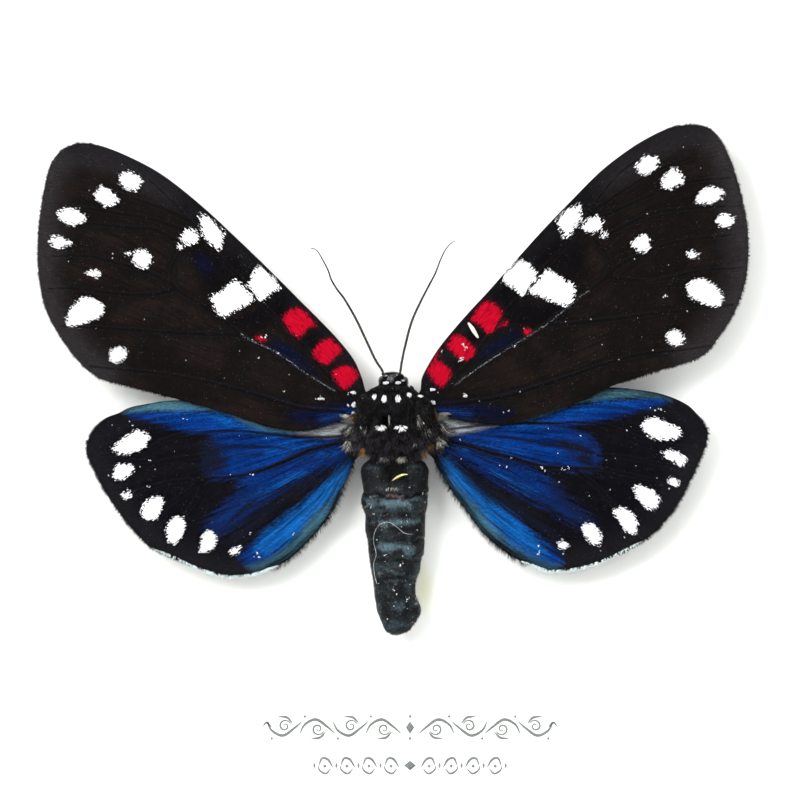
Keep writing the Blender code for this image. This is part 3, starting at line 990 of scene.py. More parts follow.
FOREWING_LEFT = WingPlan(
    node="forewing_left", slot="dark_wing_scales", lift=3.7 * MM,
    root="373,397 371,407 368,418",
    front="373,397 366,391.5 362.3,379 354,360 338.5,340 319.5,320 299.5,300 270,270.5 240,241.5 "
    "200,204.5 160,173.5 120,153 95,145.3 78,143.9",
    outer="78,143.9 62,151.5 51,168 44,198 39.4,236 40,275 48,312 65,342 82,364 100,378.5",
    inner="368,418 353,417 340,420.5 320,428 300,430.8 270,427 230,414 190,402.5 150,391.5 120,384 "
    "100,378.5",
    white=(
        (0.3, "120,175 126,173.5 131,172.5 139,176 143,182 140,187 137,191 127,190 120,183"),
        (0.3, "97,191 101,186.5 108,189 115,195.5 120,200 114,206 107,207 98,202 95.5,196"),
        (0.3, "60,212 67,209 75,209.5 83,213 87,219 84,224 74,225 64,222 57,217"),
        (0.3, "51,238 58,236.5 66,239 73,243.5 67,246.5 60,249.5 54,247 50.5,243"),
        (0.3, "86.5,272.5 92,270.5 98,270.5 102,274 97,277.5 91,276"),
        (0.3, "67.5,319 70,310 76,303 82,298 90,297.5 99,300.5 106,309 101,317 90,322 79,326.5 68,326"),
        (0.3, "110,353 115,348.5 120,346.5 126,350 128,355 123,360 117,363.5 111,360"),
        (0.3, "133,255 138,251 145,250.5 150,253 153.5,259 149,267 144,269.5 138,267 134,262"),
        (0.3, "126,254 130,252 133,254 129,256"),
        (0.3, "181,238 185,231 190,229 196,231.5 200,238 197,243 190,245.5 184,243.5"),
        (0.3, "177,246 180,243.5 182.5,246 180,250"),
        (0.5, "200,214 205,214 212,220 219,227 225,234 224,241 219,251 211,245 203,235 200.5,226"),
        (0.3, "257,267 262,266.5 269,273 280,284 279,290 272,293.5 264,301 257,298 249,287 250,279"),
        (0.3, "211,296 220,293 227,286 234,280.5 240,282 250,292.5 255,300 245,306.5 232,313 221,317.5 "
         "215,309"),
    ),
    red=(
        "284,316 290,310.5 297,308 304,311 312,319 316,327 307,329 300,338 292,333 285,324",
        "315,349 320,343 326,339.5 334,341 342,351 336,356 328,364.5 319,361 313,354",
        "333,373 339,367.5 347,365.5 354,369 358,375 354,382 345,389.5 338,384",
        "255,338 261,336.5 266,340 260,341.5",
    ),
    dots="259,358,1.2 278,353,1.2 285,391,1.1 316,399.5,0.9 321,396,0.9 348,394,1 113.5,254,1 "
    "113.5,258,0.9 122,165,0.8 97,328,0.7 265,337,1.4 262,338,1.2 267,335.5,0.9 90,191,0.8 "
    "145,320,0.5 225,378,0.6 186,361,0.7 252,339,0.7 296,336,0.6 289,375,0.8 70,262,0.7 75,221,0.9 "
    "336,374,0.6 240,351,0.5 207,398,0.5",
    veins=(
        "350,396 325,372 304,346 285,327 262,303 245,283 225,263 200,232.6 176,205 148.6,179",
        "188,220.7 168,210.8 140.7,201 112,192",
        "200,232.6 178,228 150,219 113,212.8 75,207",
        "182,245 156.5,230.6 128.9,228 87.3,224 60,222",
        "176,288 156.5,276 124.9,265.2 85.4,256.3 50,257",
        "176,289 156.5,293.9 128.9,294.9 75.5,289 48,289",
        "243.5,335.4 219.8,334.4 184,333.4 152.6,331.4 117,329 60,326",
        "345,412 320,410 295,407 260,396 227.7,386.8 196,379.9 164,373.9 117,369 90,366",
        "335,391 318,381 285,358 250,340 221,319 200,304 176,288.5 172,270 182,250 200,232.6",
    ),
    dusted="335,391 318,381 300,369 285,358 270,349 250,340 241,334",
    layers=(
        Patch(Hue.VELVET, 0.9, 7, "206,305 222,320 250,330 280,322 290,305 284,292 262,304 230,318"),
        Patch(Hue.VELVET, 0.7, 8, "188,246 205,246 222,256 240,262 246,280 225,290 208,290 196,270"),
        Patch(Hue.VELVET, 0.8, 5, "300,340 312,330 322,334 312,350"),
        Patch(Hue.BLUE, 0.85, 9, "268,338 290,345 306,362 318,374 300,368 280,354"),
        Patch(Hue.BLUE, 0.55, 8, "192,254 208,256 216,272 200,274"),
        Patch(Hue.BLUE, 0.75, 7, "286,412 320,406 352,402 352,414 330,422 300,426"),
        Patch(Hue.AZURE, 0.62, 6, "318,418 336,410 358,405 360,414 338,421 324,424"),
        Streak(Hue.SHADE, 0.5, 2.2, "345,409 300,405 260,393 210,381"),
    ),
    fringes=(
        Fringe("margin", 0.36, 0.72, 2.2, 3.6, lean=0.2, fineness=1.25),
        Fringe("hem", 0.72, 0.98, 2.4, 2.4, lean=0.6),
    ),
)

FOREWING_RIGHT = WingPlan(
    node="forewing_right", slot="dark_wing_scales", lift=3.7 * MM,
    root="413,397 416,406 420,415",
    front="413,397 420,391 421.3,380 425.5,370 437.5,350 453,330.5 471,310 489.5,290 516,260 543,230 "
    "570,202 600,172 630,149 655,134.5 675,127 695,125.3",
    outer="695,125.3 708,129 719,140 729,160 739.5,194 746.5,232 745.5,273 735,309 714.5,342 704,354 "
    "693,360",
    inner="420,415 436,414.5 460,419.5 490,424 520,421 550,411 575,403 590,397.5 610,386.5 650,373 "
    "693,360",
    white=(
        (0.3, "635,168 639,161 646,156.5 654,157.5 658,161 656,168 650,174 641,175.5 637,171.5"),
        (0.3, "661,181 665,175 671,169.5 676,168.5 680,175 684,181 676,188 668,189.5 661,187"),
        (0.3, "694,202.5 698,194 704,189 713,188 722,190.5 724,195 715,202 705,204"),
        (0.3, "714,221 719,216 725,214 733,218 734,223 727,228 719,227"),
        (0.3, "686,253.5 690,251 696,253.5 699,257 693,259 688,257"),
        (0.3, "685.5,288 689,282 697,279 707,280.5 717,288 722,296 720,305 713,307.5 701,303.5 690,298"),
        (0.3, "665,336 669,331.5 675,330 681,334 684,340 677,346 669,343.5"),
        (0.3, "630,242 636,239 642,234.5 649,239 650,246 645,252.5 638,252.5 631,246"),
        (0.3, "581,227.5 585,221 593,216.5 600,218 602,225 598,231 590,233.5 583,231"),
        (0.3, "600,235 604,232 607.5,236 602,239"),
        (0.5, "556,223 561,215 568,208.5 576,204.5 581,208 580,219 574,230 565,239.5 561,232"),
        (0.3, "501,280 508,270 518,260.5 526,262 536,273 531,285 522,296 512,288"),
        (0.3, "528,292 534,283 547,270 555,273.5 566,281 574,285 574,296 569,306 558,304.5 543,298"),
    ),
    red=(
        "470,320 476,311 483,303 491,302.5 500,309 501,316 495,329 488,334 482,328 475,322.5",
        "447,346 451,339 457,334.5 466,340 475,350 469,359 462,359.5 453,353",
        "427,371 431,364 438,361 445,365 450.5,372 448,381 441,387 434,381.5",
        "523,331 527,329 532,332 527,335",
        "500,326 507,321.5 506,326",
        "430,366 434,358 440,350 436,360",
    ),
    dots="442,351,1 463,345,2 466,348,1.6 461,359,2.2 459,361,1.2 438,392.5,1 463.5,393.5,0.9 "
    "429,402,0.8 514,346,0.9 565,322,0.7 590,320,0.8 641,337,0.7 652,351,0.9 618,360,0.7 "
    "665,296,1.5 663,298,1 686,311,0.9 634,260,0.9 524,328,0.8 480,401,0.6 520,392,1 490,404,0.5 "
    "509,411,1.2 503,412,1 697,145,0.5 682,148,0.6 647,214,0.8 700,169,0.5 668,265,0.6 637,318,0.5 "
    "602,345,0.5 470,373,0.8 452,383,0.6",
    veins=(
        "445,385 470,362 480,348 505,312 522,294 540,272 555,257 575,234 597,200 618,175 640,158",
        "590,213 620,193 652,173 690,158",
        "583,224 607,215 640,200 680,184 730,178",
        "600,240 625,226 655,213 700,208 740,206",
        "607,277 620,265 655,248 690,240 735,235",
        "607,277 640,281 660,280 700,271 742,268",
        "550,325 580,323 630,317 660,313 705,309 732,305",
        "440,405 470,402 498,398 540,386 590,369 620,359 650,353 690,349 712,345",
        "455,385 480,366 505,350 545,325 573,302 590,290 607,275 608,258 598,245 583,224",
    ),
    dusted="455,385 471,373 493,358 530,335 552,320 573,302 590,290",
    layers=(
        Patch(Hue.VELVET, 0.9, 7, "492,298 505,285 522,300 550,306 566,310 540,326 510,324 502,306"),
        Patch(Hue.VELVET, 0.7, 8, "536,262 548,246 566,240 582,240 586,262 578,280 556,268"),
        Patch(Hue.VELVET, 0.8, 5, "468,334 478,336 474,345 464,338"),
        Patch(Hue.BLUE, 0.85, 9, "478,358 490,344 512,330 520,334 500,350"),
        Patch(Hue.BLUE, 0.75, 7, "440,402 470,404 512,408 505,421 470,420 446,414"),
        Patch(Hue.AZURE, 0.62, 6, "430,405 450,407 472,412 470,418 450,416 432,412"),
        Streak(Hue.SHADE, 0.5, 2.2, "445,402 500,394 540,383 590,366"),
    ),
    fringes=(
        Fringe("margin", 0.36, 0.72, 2.4, 3.6, lean=0.3, fineness=1.25),
        Fringe("hem", 0.72, 0.98, 2.4, 2.4, lean=0.6),
    ),
)

HINDWING_LEFT = WingPlan(
    node="hindwing_left", slot="blue_wing_scales", lift=3.0 * MM,
    root="370,428 372,440 371,451",
    front="370,428 350,424 320,415 280,405 230,399.5 172,400.5 150,403.3 130,407.5 119,413 108,417 "
    "100,423",
    outer="100,423 91,434 86.7,448 90,461 95,470 102,485 115,506 131,527 150,546 167,554.5 189,565 "
    "210,573 230,577 252,575.5",
    inner="371,451 357,458 349,473 341,491 335,505.5 325,521.5 310,538.5 295,554 275,567 252,575.5",
    white=(
        (0.2, "112,449.5 116,443.5 125,436 135,431 143,431 150,436.5 148,443 142,449.5 130,454 "
         "119,453.5"),
        (0.2, "112.5,473 117,465 125,463.5 135,467 130,475 121,480 115,479.5"),
        (0.2, "122.5,495 127,490.5 132,493 129,499 123.5,500"),
        (0.2, "141,514 142.5,506 148,499.5 157,496.5 164,499.5 161.5,510 157,518 147,519.5"),
        (0.2, "165.5,533 168,524 174,517.5 183,517.5 186,524 183,534 176,544 169,541"),
        (0.2, "200,552 200.5,543 205,532 211,530 216,536 215,547 208,551.5"),
        (0.2, "230,554 232,549 240.5,546 238,553"),
    ),
    dots="257,553,1.4 259.5,557,1.6 255,557,0.8 133.5,425,1 131,422,0.8 150,487,1.4 147,486,0.9 "
    "293,534,1.1 250,533,1.1 253,474,1.4 250,475,1 240,436,0.8 266,438,0.8 150,461,1 156,469,0.8 "
    "109,476,1 230,474,0.7 141,467,0.7 112,425,0.8 184,419,1 187,419,0.9 175,451,0.5",
    veins=(
        "350,440 330,445 310,450 290,459 270,467 252,473.5 230,477 205,480 180,497 150,520",
        "345,436 300,437 240,431 190,433 165,440 140,452 100,455",
        "205,455 170,460 140,466 100,468",
        "205,480 170,482 130,494",
        "205,480 195,500 175,530 165,548",
    ),
    layers=(
        Patch(Hue.TEAL, 0.95, 3, "122,413 140,406 172,400.5 205,402 232,411 256,420 285,428 302,433 "
              "280,434 252,430 236,421 222,413 190,411 150,411.5"),
        Patch(Hue.AZURE, 0.40, 6, "150,411 180,409 215,411 236,419 226,425 200,418 170,416"),
        Patch(Hue.PALE, 0.85, 4, "306,428 328,424 350,424 352,434 330,438 305,436 288,432"),
        Patch(Hue.BLUE, 1.0, 5, "128,414 165,412 205,412 226,414 242,422 256,429 240,433 205,434 178,430 "
              "155,423 134,418"),
        Patch(Hue.AZURE, 0.45, 6, "214,414 246,422 275,430 304,437 270,438 244,433 222,425"),
        Patch(Hue.BLUE, 0.95, 9, "209,441 224,433 262,432 305,437 342,440 318,448 288,460 262,470 "
              "232,477 209,477 205,466"),
        Patch(Hue.AZURE, 0.36, 5, "270,444 300,440 330,441 305,450 282,456 262,458"),
        Patch(Hue.BLUE, 0.98, 15, "346,449 318,453 288,463 262,471 246,478 240,494 224,508 208,528 "
              "216,534 236,522 258,506 284,488 318,470 342,458"),
        Patch(Hue.AZURE, 0.45, 4, "300,470 272,480 248,496 254,500 280,488 306,475"),
        Patch(Hue.AZURE, 0.45, 3, "345,448 322,452 312,457 330,455"),
        Patch(Hue.TEAL, 0.62, 7, "346,478 338,494 326,516 306,540 282,560 256,572 246,564 272,552 "
              "300,530 322,506 336,486"),
        Patch(Hue.TEAL, 0.45, 6, "318,503 327,511 314,528 298,537 294,528"),
        Patch(Hue.BLUE, 0.9, 8, "300,506 272,528 248,547 240,557 250,566 272,556 300,532"),
        Patch(Hue.AZURE, 0.92, 9, "350,462 334,476 312,494 286,516 263,536 254,548 262,556 277,550 "
              "295,536 314,518 330,500 344,480"),
        Streak(Hue.SHADE, 0.85, 3.0, "352,440 310,450 270,467 230,477"),
        Streak(Hue.SHADE, 0.75, 2.4, "222,446 250,447 275,447 292,450"),
        Streak(Hue.SHADE, 0.60, 3.4, "224,458 245,454 270,456"),
        Patch(Hue.SHADE, 0.58, 12, "202,442 216,446 228,466 214,476 204,474"),
        Patch(Hue.SHADE, 0.66, 7, "332,474 302,491 278,510 256,531 240,545 228,545 242,526 268,504 "
              "300,483"),
        Streak(Hue.SHADE, 0.6, 1.3, "340,478 316,500 290,522 262,548"),
        Streak(Hue.SHADE, 0.5, 1.2, "332,498 310,518 284,540 262,558"),
        Streak(Hue.SHADE, 0.6, 1.2, "345,455 310,462 280,474 254,488"),
        Streak(Hue.SHADE, 0.5, 1.2, "330,466 300,480 270,496 246,510"),
        Streak(Hue.SHADE, 0.55, 2.0, "256,500 240,512 226,526"),
        Patch(Hue.SHADE, 0.45, 14, "256,484 236,498 214,516 200,530 216,544 238,526 258,506"),
        Patch(Hue.SHADE, 0.40, 9, "206,440 222,438 226,452 222,470 206,478 200,462"),
        Patch(Hue.SHADE, 0.5, 3, "312,486 296,498 300,488"),
    ),
    fringes=(
        Fringe("margin", 0.36, 0.57, 2.7, 4.2, lean=0.2, fineness=1.35),
        Fringe("hem", 0.525, 0.690, 3.4, 2.3, white=True, lean=0.35, inset=2.4, fineness=1.35),
        Fringe("inner", 0.665, 0.965, 6.0, 6.0, lean=-0.7, fineness=0.7),
    ),
    hairs=520,
)

HINDWING_RIGHT = WingPlan(
    node="hindwing_right", slot="blue_wing_scales", lift=3.0 * MM,
    root="418,426 417,440 418,450",
    front="418,426 436,422 470,412 520,400 570,391 610,387.5 640,390 665,395 688,405.5 702,420.5",
    outer="702,420.5 707.3,434 703.5,450 698,463 688,484 677,505 661,525 648,537 632,546.5 609,558.5 "
    "590,566 570,570.5 548,572",
    inner="418,450 431,456 441,472.3 450,488 465,508.5 480,529 493,542 505,551 520,560.5 548,572",
    white=(
        (0.2, "641,424 646,418.5 656,417 668,422 681,430.5 678,437.5 666,440.5 652,438 643,431"),
        (0.2, "661,454 666,450.5 673,449.5 681,453.5 687,460.5 681,466.5 672,462"),
        (0.2, "667.5,480 672,477 678.5,480 678,486.5 671,485.5"),
        (0.2, "632.5,489 638,485.5 648,487 658,495 660,503 653,509.5 644,506.5 637,498"),
        (0.2, "612.5,511 619,507.5 627,508 634,515 637,525 634,534 626,532 619,522"),
        (0.2, "582,526 587,523 594,523.5 600,531 600.5,544 592,543.5 585,537"),
        (0.2, "557.5,543.5 562,540 569,545.5 565,549 559,548.5"),
    ),
    dots="654,410,1.2 658,409,1 661,409.5,1.3 664,411,0.8 650,408,0.8 538,545,1.1 539,552,1.7 "
    "537,554,0.9 624.5,537,1.1 627,430,1.2 630,427,0.8 580,436,1.1 557,453,1 511,457,1.1 "
    "499,465,0.9 507,467,1.3 542,468,1.8 545,470,1.2 562,469,1.2 568,468,1.4 565,470,1 558,482,0.9 "
    "610,490,1 669,489,1 461,440,1 461,459,1 563,553,1.1 589,495,0.7 616,458,0.8 606,460,0.6 "
    "548,429,0.7 560,519,0.7 657,478,0.8 635,466,0.5 448,446,0.8 480,402,0.6 601,551,0.7",
    veins=(
        "432,437 450,441 470,446 490,453 510,457 540,466 560,468 600,469 625,474 650,479 690,484",
        "440,430 500,424 550,423 590,423 620,430 645,440 700,450",
        "597,455 630,458 660,464 697,468",
        "575,470 600,490 625,520 640,540",
    ),
    layers=(
        Patch(Hue.TEAL, 0.64, 3, "596,391 615,388.5 642,391 666,397 674,402 650,399 620,399 592,402 "
              "566,408 545,417 520,422 498,422 530,416 562,402"),
        Patch(Hue.PALE, 0.45, 4, "575,393 596,391 600,396 585,401 566,402"),
        Patch(Hue.AZURE, 0.40, 6, "560,411 590,403 625,398 650,400 630,404 600,408 572,416"),
        Patch(Hue.PALE, 1.0, 4, "438,417 452,420 475,424 500,424 480,430 462,434 440,434"),
        Patch(Hue.BLUE, 1.0, 5, "540,419 560,411 590,404 630,400 662,399 668,402 652,408 622,416 596,422 "
              "566,424 546,423"),
        Patch(Hue.AZURE, 0.42, 5, "500,424 530,420 560,420 572,424 540,427 505,431"),
        Patch(Hue.BLUE, 0.95, 9, "452,439 470,431 505,424 545,424 578,430 596,444 600,460 590,470 "
              "560,467 528,460 500,453 474,445"),
        Patch(Hue.AZURE, 0.34, 5, "462,438 490,442 520,449 530,456 505,452 478,444"),
        Patch(Hue.BLUE, 0.88, 15, "448,449 474,450 505,459 528,467 546,480 566,500 584,516 592,528 "
              "572,522 548,506 520,494 492,478 466,462"),
        Patch(Hue.AZURE, 0.45, 4, "488,470 508,474 536,490 528,494 504,482"),
        Patch(Hue.AZURE, 0.5, 3, "448,447 462,446 475,450 462,451"),
        Patch(Hue.TEAL, 0.62, 7, "446,476 468,508 490,534 520,556 552,570 562,562 528,546 500,524 "
              "474,498 456,478"),
        Patch(Hue.TEAL, 0.45, 6, "470,502 484,516 500,530 494,536 480,524"),
        Patch(Hue.BLUE, 0.9, 8, "500,506 528,527 552,547 564,560 552,566 526,554 500,532"),
        Patch(Hue.AZURE, 0.92, 9, "442,458 456,467 476,486 502,508 526,528 544,545 546,555 532,554 "
              "514,545 494,527 473,505 453,480"),
        Streak(Hue.SHADE, 0.9, 3.0, "434,438 470,446 510,458 550,468 600,469"),
        Streak(Hue.SHADE, 0.7, 2.2, "472,436 505,437 540,443 572,450"),
        Streak(Hue.SHADE, 0.7, 3.2, "540,446 560,444 580,449 592,452"),
        Patch(Hue.SHADE, 0.55, 4, "580,457 590,456 591,464 582,464"),
        Patch(Hue.SHADE, 0.55, 12, "562,440 590,440 600,456 596,470 574,464"),
        Patch(Hue.SHADE, 0.66, 7, "457,466 482,480 507,494 534,514 557,535 566,550 552,542 528,524 "
              "500,504 474,486"),
        Streak(Hue.SHADE, 0.6, 1.4, "462,480 490,508 520,532 548,556"),
        Streak(Hue.SHADE, 0.55, 1.3, "456,486 482,514 510,537 536,556"),
        Streak(Hue.SHADE, 0.6, 1.2, "455,452 485,459 515,474 545,494"),
        Streak(Hue.SHADE, 0.5, 1.2, "465,457 495,474 528,494 560,515"),
        Patch(Hue.SHADE, 0.45, 14, "552,482 574,494 596,516 600,532 580,538 560,520 544,502"),
    ),
    fringes=(
        Fringe("margin", 0.36, 0.565, 2.9, 4.2, lean=0.2, fineness=1.35),
        Fringe("hem", 0.525, 0.690, 3.4, 2.3, white=True, lean=0.35, inset=2.4, fineness=1.35),
        Fringe("inner", 0.665, 0.965, 6.0, 6.0, lean=-0.7, fineness=0.7),
    ),
    hairs=520,
)


@dataclass(frozen=True)
class Strand:
    """One tapering hair, or one flat scale, that is repeated many times."""

    cut: Cut = Cut.HAIR
    sides: int = 3
    rings: tuple[float, ...] = (0.45,)

    def template(self) -> tuple[Array, list[list[int]]]:
        """Model the strand along +Z from 0 to 1, with a radius of 1.

        Returns:
            Its points, and the point numbers of its faces.
        """
        bm = ringed_rod(self.sides, 0.0, self.rings)
        bm.verts.index_update()
        points = np.array([vert.co for vert in bm.verts])
        faces = [[vert.index for vert in face.verts] for face in bm.faces]
        bm.free()
        width = np.linalg.norm(points[:, :2], axis=1, keepdims=True)
        spread = points[:, :2] / np.maximum(width, 1e-9) * (width > 1e-6)
        height = points[:, 2:3]
        if self.cut is Cut.BLADE:
            radius = 0.35 + 0.75 * np.sin(math.pi * np.clip(height, 0, 1) ** 1.3)
            spread = spread * radius * (height < 0.999) * np.array([[1.0, 0.22]])
        else:
            spread = spread * (1 - height) ** 0.7
        return np.hstack([spread, height]), faces

    def grow(self, name: str, roots: Array, aims: Array, normals: Array,
             radii: Array, bends: Array) -> Mesh:
        """Repeat the strand into one joined mesh.

        Args:
            name: The mesh's name.
            roots: Where each strand starts.
            aims: Where each one points, as long as the strand.
            normals: The surface's normals, which the flat side of a scale faces.
            radii: Half widths.
            bends: How far each tip bends away from its straight line.

        Returns:
            The joined mesh.
        """
        points, faces = self.template()
        across = unit(np.cross(aims, normals))
        upward = unit(np.cross(across, aims))
        height = points[:, 2]
        placed = (roots[:, None, :]
                  + across[:, None, :] * (points[:, 0] * radii[:, None])[..., None]
                  + upward[:, None, :] * (points[:, 1] * radii[:, None])[..., None]
                  + aims[:, None, :] * height[None, :, None]
                  + bends[:, None, :] * (height ** 2)[None, :, None])
        starts = np.arange(len(roots)) * len(points)
        joined = [[start + number for number in face] for start in starts.tolist() for face in faces]
        mesh = bpy.data.meshes.new(name)
        mesh.from_pydata(placed.reshape(-1, 3).tolist(), [], joined)
        return mesh


def lay_flakes(name: str, places: str, lift: Callable[[Array], Array],
               material: Material, random: Generator) -> None:
    """Lay small white flakes flat on a surface.

    Args:
        name: The piece's name.
        places: Text of rows with the pixel and the radius in pixels of each group of flakes.
        lift: Gives the surface's height above the board at pixels, in metres.
        material: Their finish.
        random: Source of their places and turns.
    """
    spots = read_trace(places)
    counts = np.maximum(1, np.rint(spots[:, 2] ** 2 * 2.2)).astype(int)
    spots = np.repeat(spots, counts, axis=0)
    count = len(spots)
    pixels = spots[:, :2] + random.normal(0, 0.40, (count, 2)) * spots[:, 2:]
    turn = random.uniform(0, math.tau, count)
    length = 0.075 * MM * random.uniform(0.6, 1.3, count) * np.minimum(spots[:, 2] + 0.3, 1.2)
    aims = np.stack([np.cos(turn), random.normal(0, 0.15, count), np.sin(turn)], axis=1)
    roots = at_pixel(pixels, lift(pixels) + random.uniform(0.0, 0.03, count) * MM)
    normals = facing_out(count)
    mesh = Strand(Cut.BLADE, 4, (0.35, 0.75)).grow(name, roots, aims * length[:, None], normals,
                                                   length * 0.36, np.zeros_like(roots))
    link_piece(name, mesh, material)


@dataclass
class Wing:
    """One wing: a scaled skin with raised veins, and the fringes on its margin."""

    plan: WingPlan
    steps: int = 190
    rows: int = 112
    thickness: float = 0.10 * MM
    tip_rise: float = 0.5 * MM
    vein_height: float = 0.065 * MM
    edges: dict[str, Array] = field(init=False)

    def __post_init__(self) -> None:
        """Work out the wing's four edges."""
        self.edges = {"front": smooth_path(self.plan.front, self.steps),
                      "inner": smooth_path(self.plan.inner, self.steps),
                      "root": smooth_path(self.plan.root, self.rows),
                      "outer": smooth_path(self.plan.outer, self.rows)}

    def outline(self) -> Array:
        """Return the margin from the front of the root round to its back."""
        return np.vstack([self.edges["front"], self.edges["outer"][1:], self.edges["inner"][-2::-1]])

    def spread(self, u: Array, v: Array) -> Array:
        """Blend the four edges into a point for each pair of shares.

        Args:
            u: Shares from the root outwards.
            v: Shares from the front edge to the back.

        Returns:
            Pixels as an (n, 2) array.
        """
        step = np.rint(u * self.steps).astype(int)
        row = np.rint(v * self.rows).astype(int)
        front, inner = self.edges["front"], self.edges["inner"]
        u, v = u[:, None], v[:, None]
        edges = (front[step] * (1 - v) + inner[step] * v
                 + self.edges["root"][row] * (1 - u) + self.edges["outer"][row] * u)
        corners = ((front[0] * (1 - v) + inner[0] * v) * (1 - u)
                   + (front[-1] * (1 - v) + inner[-1] * v) * u)
        return edges - corners

    def height(self, pixels: Array) -> Array:
        """Return how high the wing's middle stands over the board.

        Args:
            pixels: Pixels as an (n, 2) array.

        Returns:
            Heights in metres.
        """
        x = np.abs(pixels[:, 0] - CENTRE_PX[0]) * PX
        z = MIDDLE_Z + (CENTRE_PX[1] - pixels[:, 1]) * PX
        out = np.clip(x / (WINGSPAN / 2), 0, 1)
        pleat = 0.07 * MM * np.sin(z / (2.6 * MM)) * np.sin(math.pi * np.minimum(out * 1.4, 1))
        return self.plan.lift + self.tip_rise * out ** 2 + pleat

    def build(self, finish: Material) -> bpy.types.Object:
        """Model the skin and store the layers that its finish reads.

        Args:
            finish: Its finish.

        Returns:
            The skin's object.
        """
        bm = bmesh.new()
        bmesh.ops.create_grid(bm, x_segments=self.steps, y_segments=self.rows, size=0.5)
        mesh = mesh_of(f"{self.plan.node}_skin", bm, outward=False)
        shares = read_points(mesh)[:, :2] + 0.5
        pixels = self.spread(shares[:, 0], shares[:, 1])
        self.store_layers(mesh, pixels)
        self.store_flow(mesh, shares)
        write_points(mesh, at_pixel(pixels, self.height(pixels) + self.relief(mesh, pixels)))
        if mesh.polygons[len(mesh.polygons) // 2].normal.y > 0:
            mesh.flip_normals()
        skin = link_piece(f"{self.plan.node}_skin", mesh, finish, [self.plan.node])
        wall = skin.modifiers.new("thickness", "SOLIDIFY")
        wall.thickness = self.thickness
        wall.offset = -1
        return skin

    def store_flow(self, mesh: Mesh, shares: Array) -> None:
        """Map the skin with about one unit a pixel: rays that fan out, and even scale rows.

        Args:
            mesh: The mesh.
            shares: Each point's shares outwards and backwards.
        """
        front = np.linalg.norm(np.diff(self.edges["front"], axis=0), axis=1).sum()
        outer = np.linalg.norm(np.diff(self.edges["outer"], axis=0), axis=1).sum()
        widths = np.linalg.norm(self.edges["inner"] - self.edges["front"], axis=1)
        step = np.rint(shares[:, 0] * self.steps).astype(int)
        corner = np.empty(len(mesh.loops), dtype=int)
        mesh.loops.foreach_get("vertex_index", corner)
        for name, across in (("Flow", outer * 0.8), ("Rows", widths[step])):
            place = np.stack([shares[:, 0] * front, shares[:, 1] * across], axis=1)
            layer = mesh.uv_layers.new(name=name)
            layer.data.foreach_set("uv", place[corner].ravel())

    def store_layers(self, mesh: Mesh, pixels: Array) -> None:
        """Store spots, veins, edges and colour layers as numbers on the points.

        Args:
            mesh: The mesh.
            pixels: Pixels as an (n, 2) array.
        """
        plan = self.plan
        white = np.full(len(pixels), -12.0)
        loose = np.zeros(len(pixels))
        for looseness, outline in plan.white:
            depth = depth_inside(pixels, smooth_path(outline, 40, closed=True))
            loose = np.where((depth > white) & (depth > -8), looseness, loose)
            white = np.maximum(white, depth)
        red = np.full(len(pixels), -12.0)
        for outline in plan.red:
            red = np.maximum(red, depth_inside(pixels, smooth_path(outline, 40, closed=True)))
        veins = np.full(len(pixels), 1e9)
        for route in plan.veins:
            gap, along = path_gap(pixels, smooth_path(route, 40))
            veins = np.minimum(veins, gap + 0.5 * along)
        dust = path_gap(pixels, smooth_path(plan.dusted, 40))[0] if plan.dusted else veins + 99
        for name, values in (("white", white), ("loose", loose), ("red", red),
                             ("vein_gap", np.minimum(veins, 40)), ("dust_gap", np.minimum(dust, 40))):
            write_layer(mesh, name, values)
        tip = np.vstack([self.edges["front"][self.steps * 3 // 4::4], self.edges["outer"][::4]])
        write_layer(mesh, "edge", np.minimum(path_gap(pixels, tip)[0], 80))
        write_layer(mesh, "front_gap", np.minimum(path_gap(pixels, self.edges["front"][::4])[0], 80))
        for hue in Hue:
            share = np.zeros(len(pixels))
            for layer in plan.layers:
                if layer.hue is hue:
                    share = 1 - (1 - share) * (1 - layer.weigh(pixels))
            write_layer(mesh, hue.value, share)

    def relief(self, mesh: Mesh, pixels: Array) -> Array:
        """Return the height of veins, of the furrows beside them and of the pleats between.

        Args:
            mesh: The mesh.
            pixels: Pixels as an (n, 2) array.

        Returns:
            Heights in metres.
        """
        veins = np.empty(len(pixels))
        mesh.attributes["vein_gap"].data.foreach_get("value", veins)
        ridge = self.vein_height * np.exp(-(veins / 1.3) ** 2)
        furrow = -0.4 * self.vein_height * np.exp(-((veins - 3.2) / 1.8) ** 2)
        bulge = 0.05 * MM * ease(veins, 2, 16)
        ripple = 0.012 * MM * np.sin(pixels[:, 0] * 0.31 + pixels[:, 1] * 0.17)
        return ridge + furrow + bulge + ripple

    def scatter_scales(self, white: Material, random: Generator) -> None:
        """Lay the loose white scales and specks on the wing."""
        lay_flakes(f"{self.plan.node}_loose_scales", self.plan.dots,
                   lambda pixels: self.height(pixels) + 0.09 * MM, white, random)

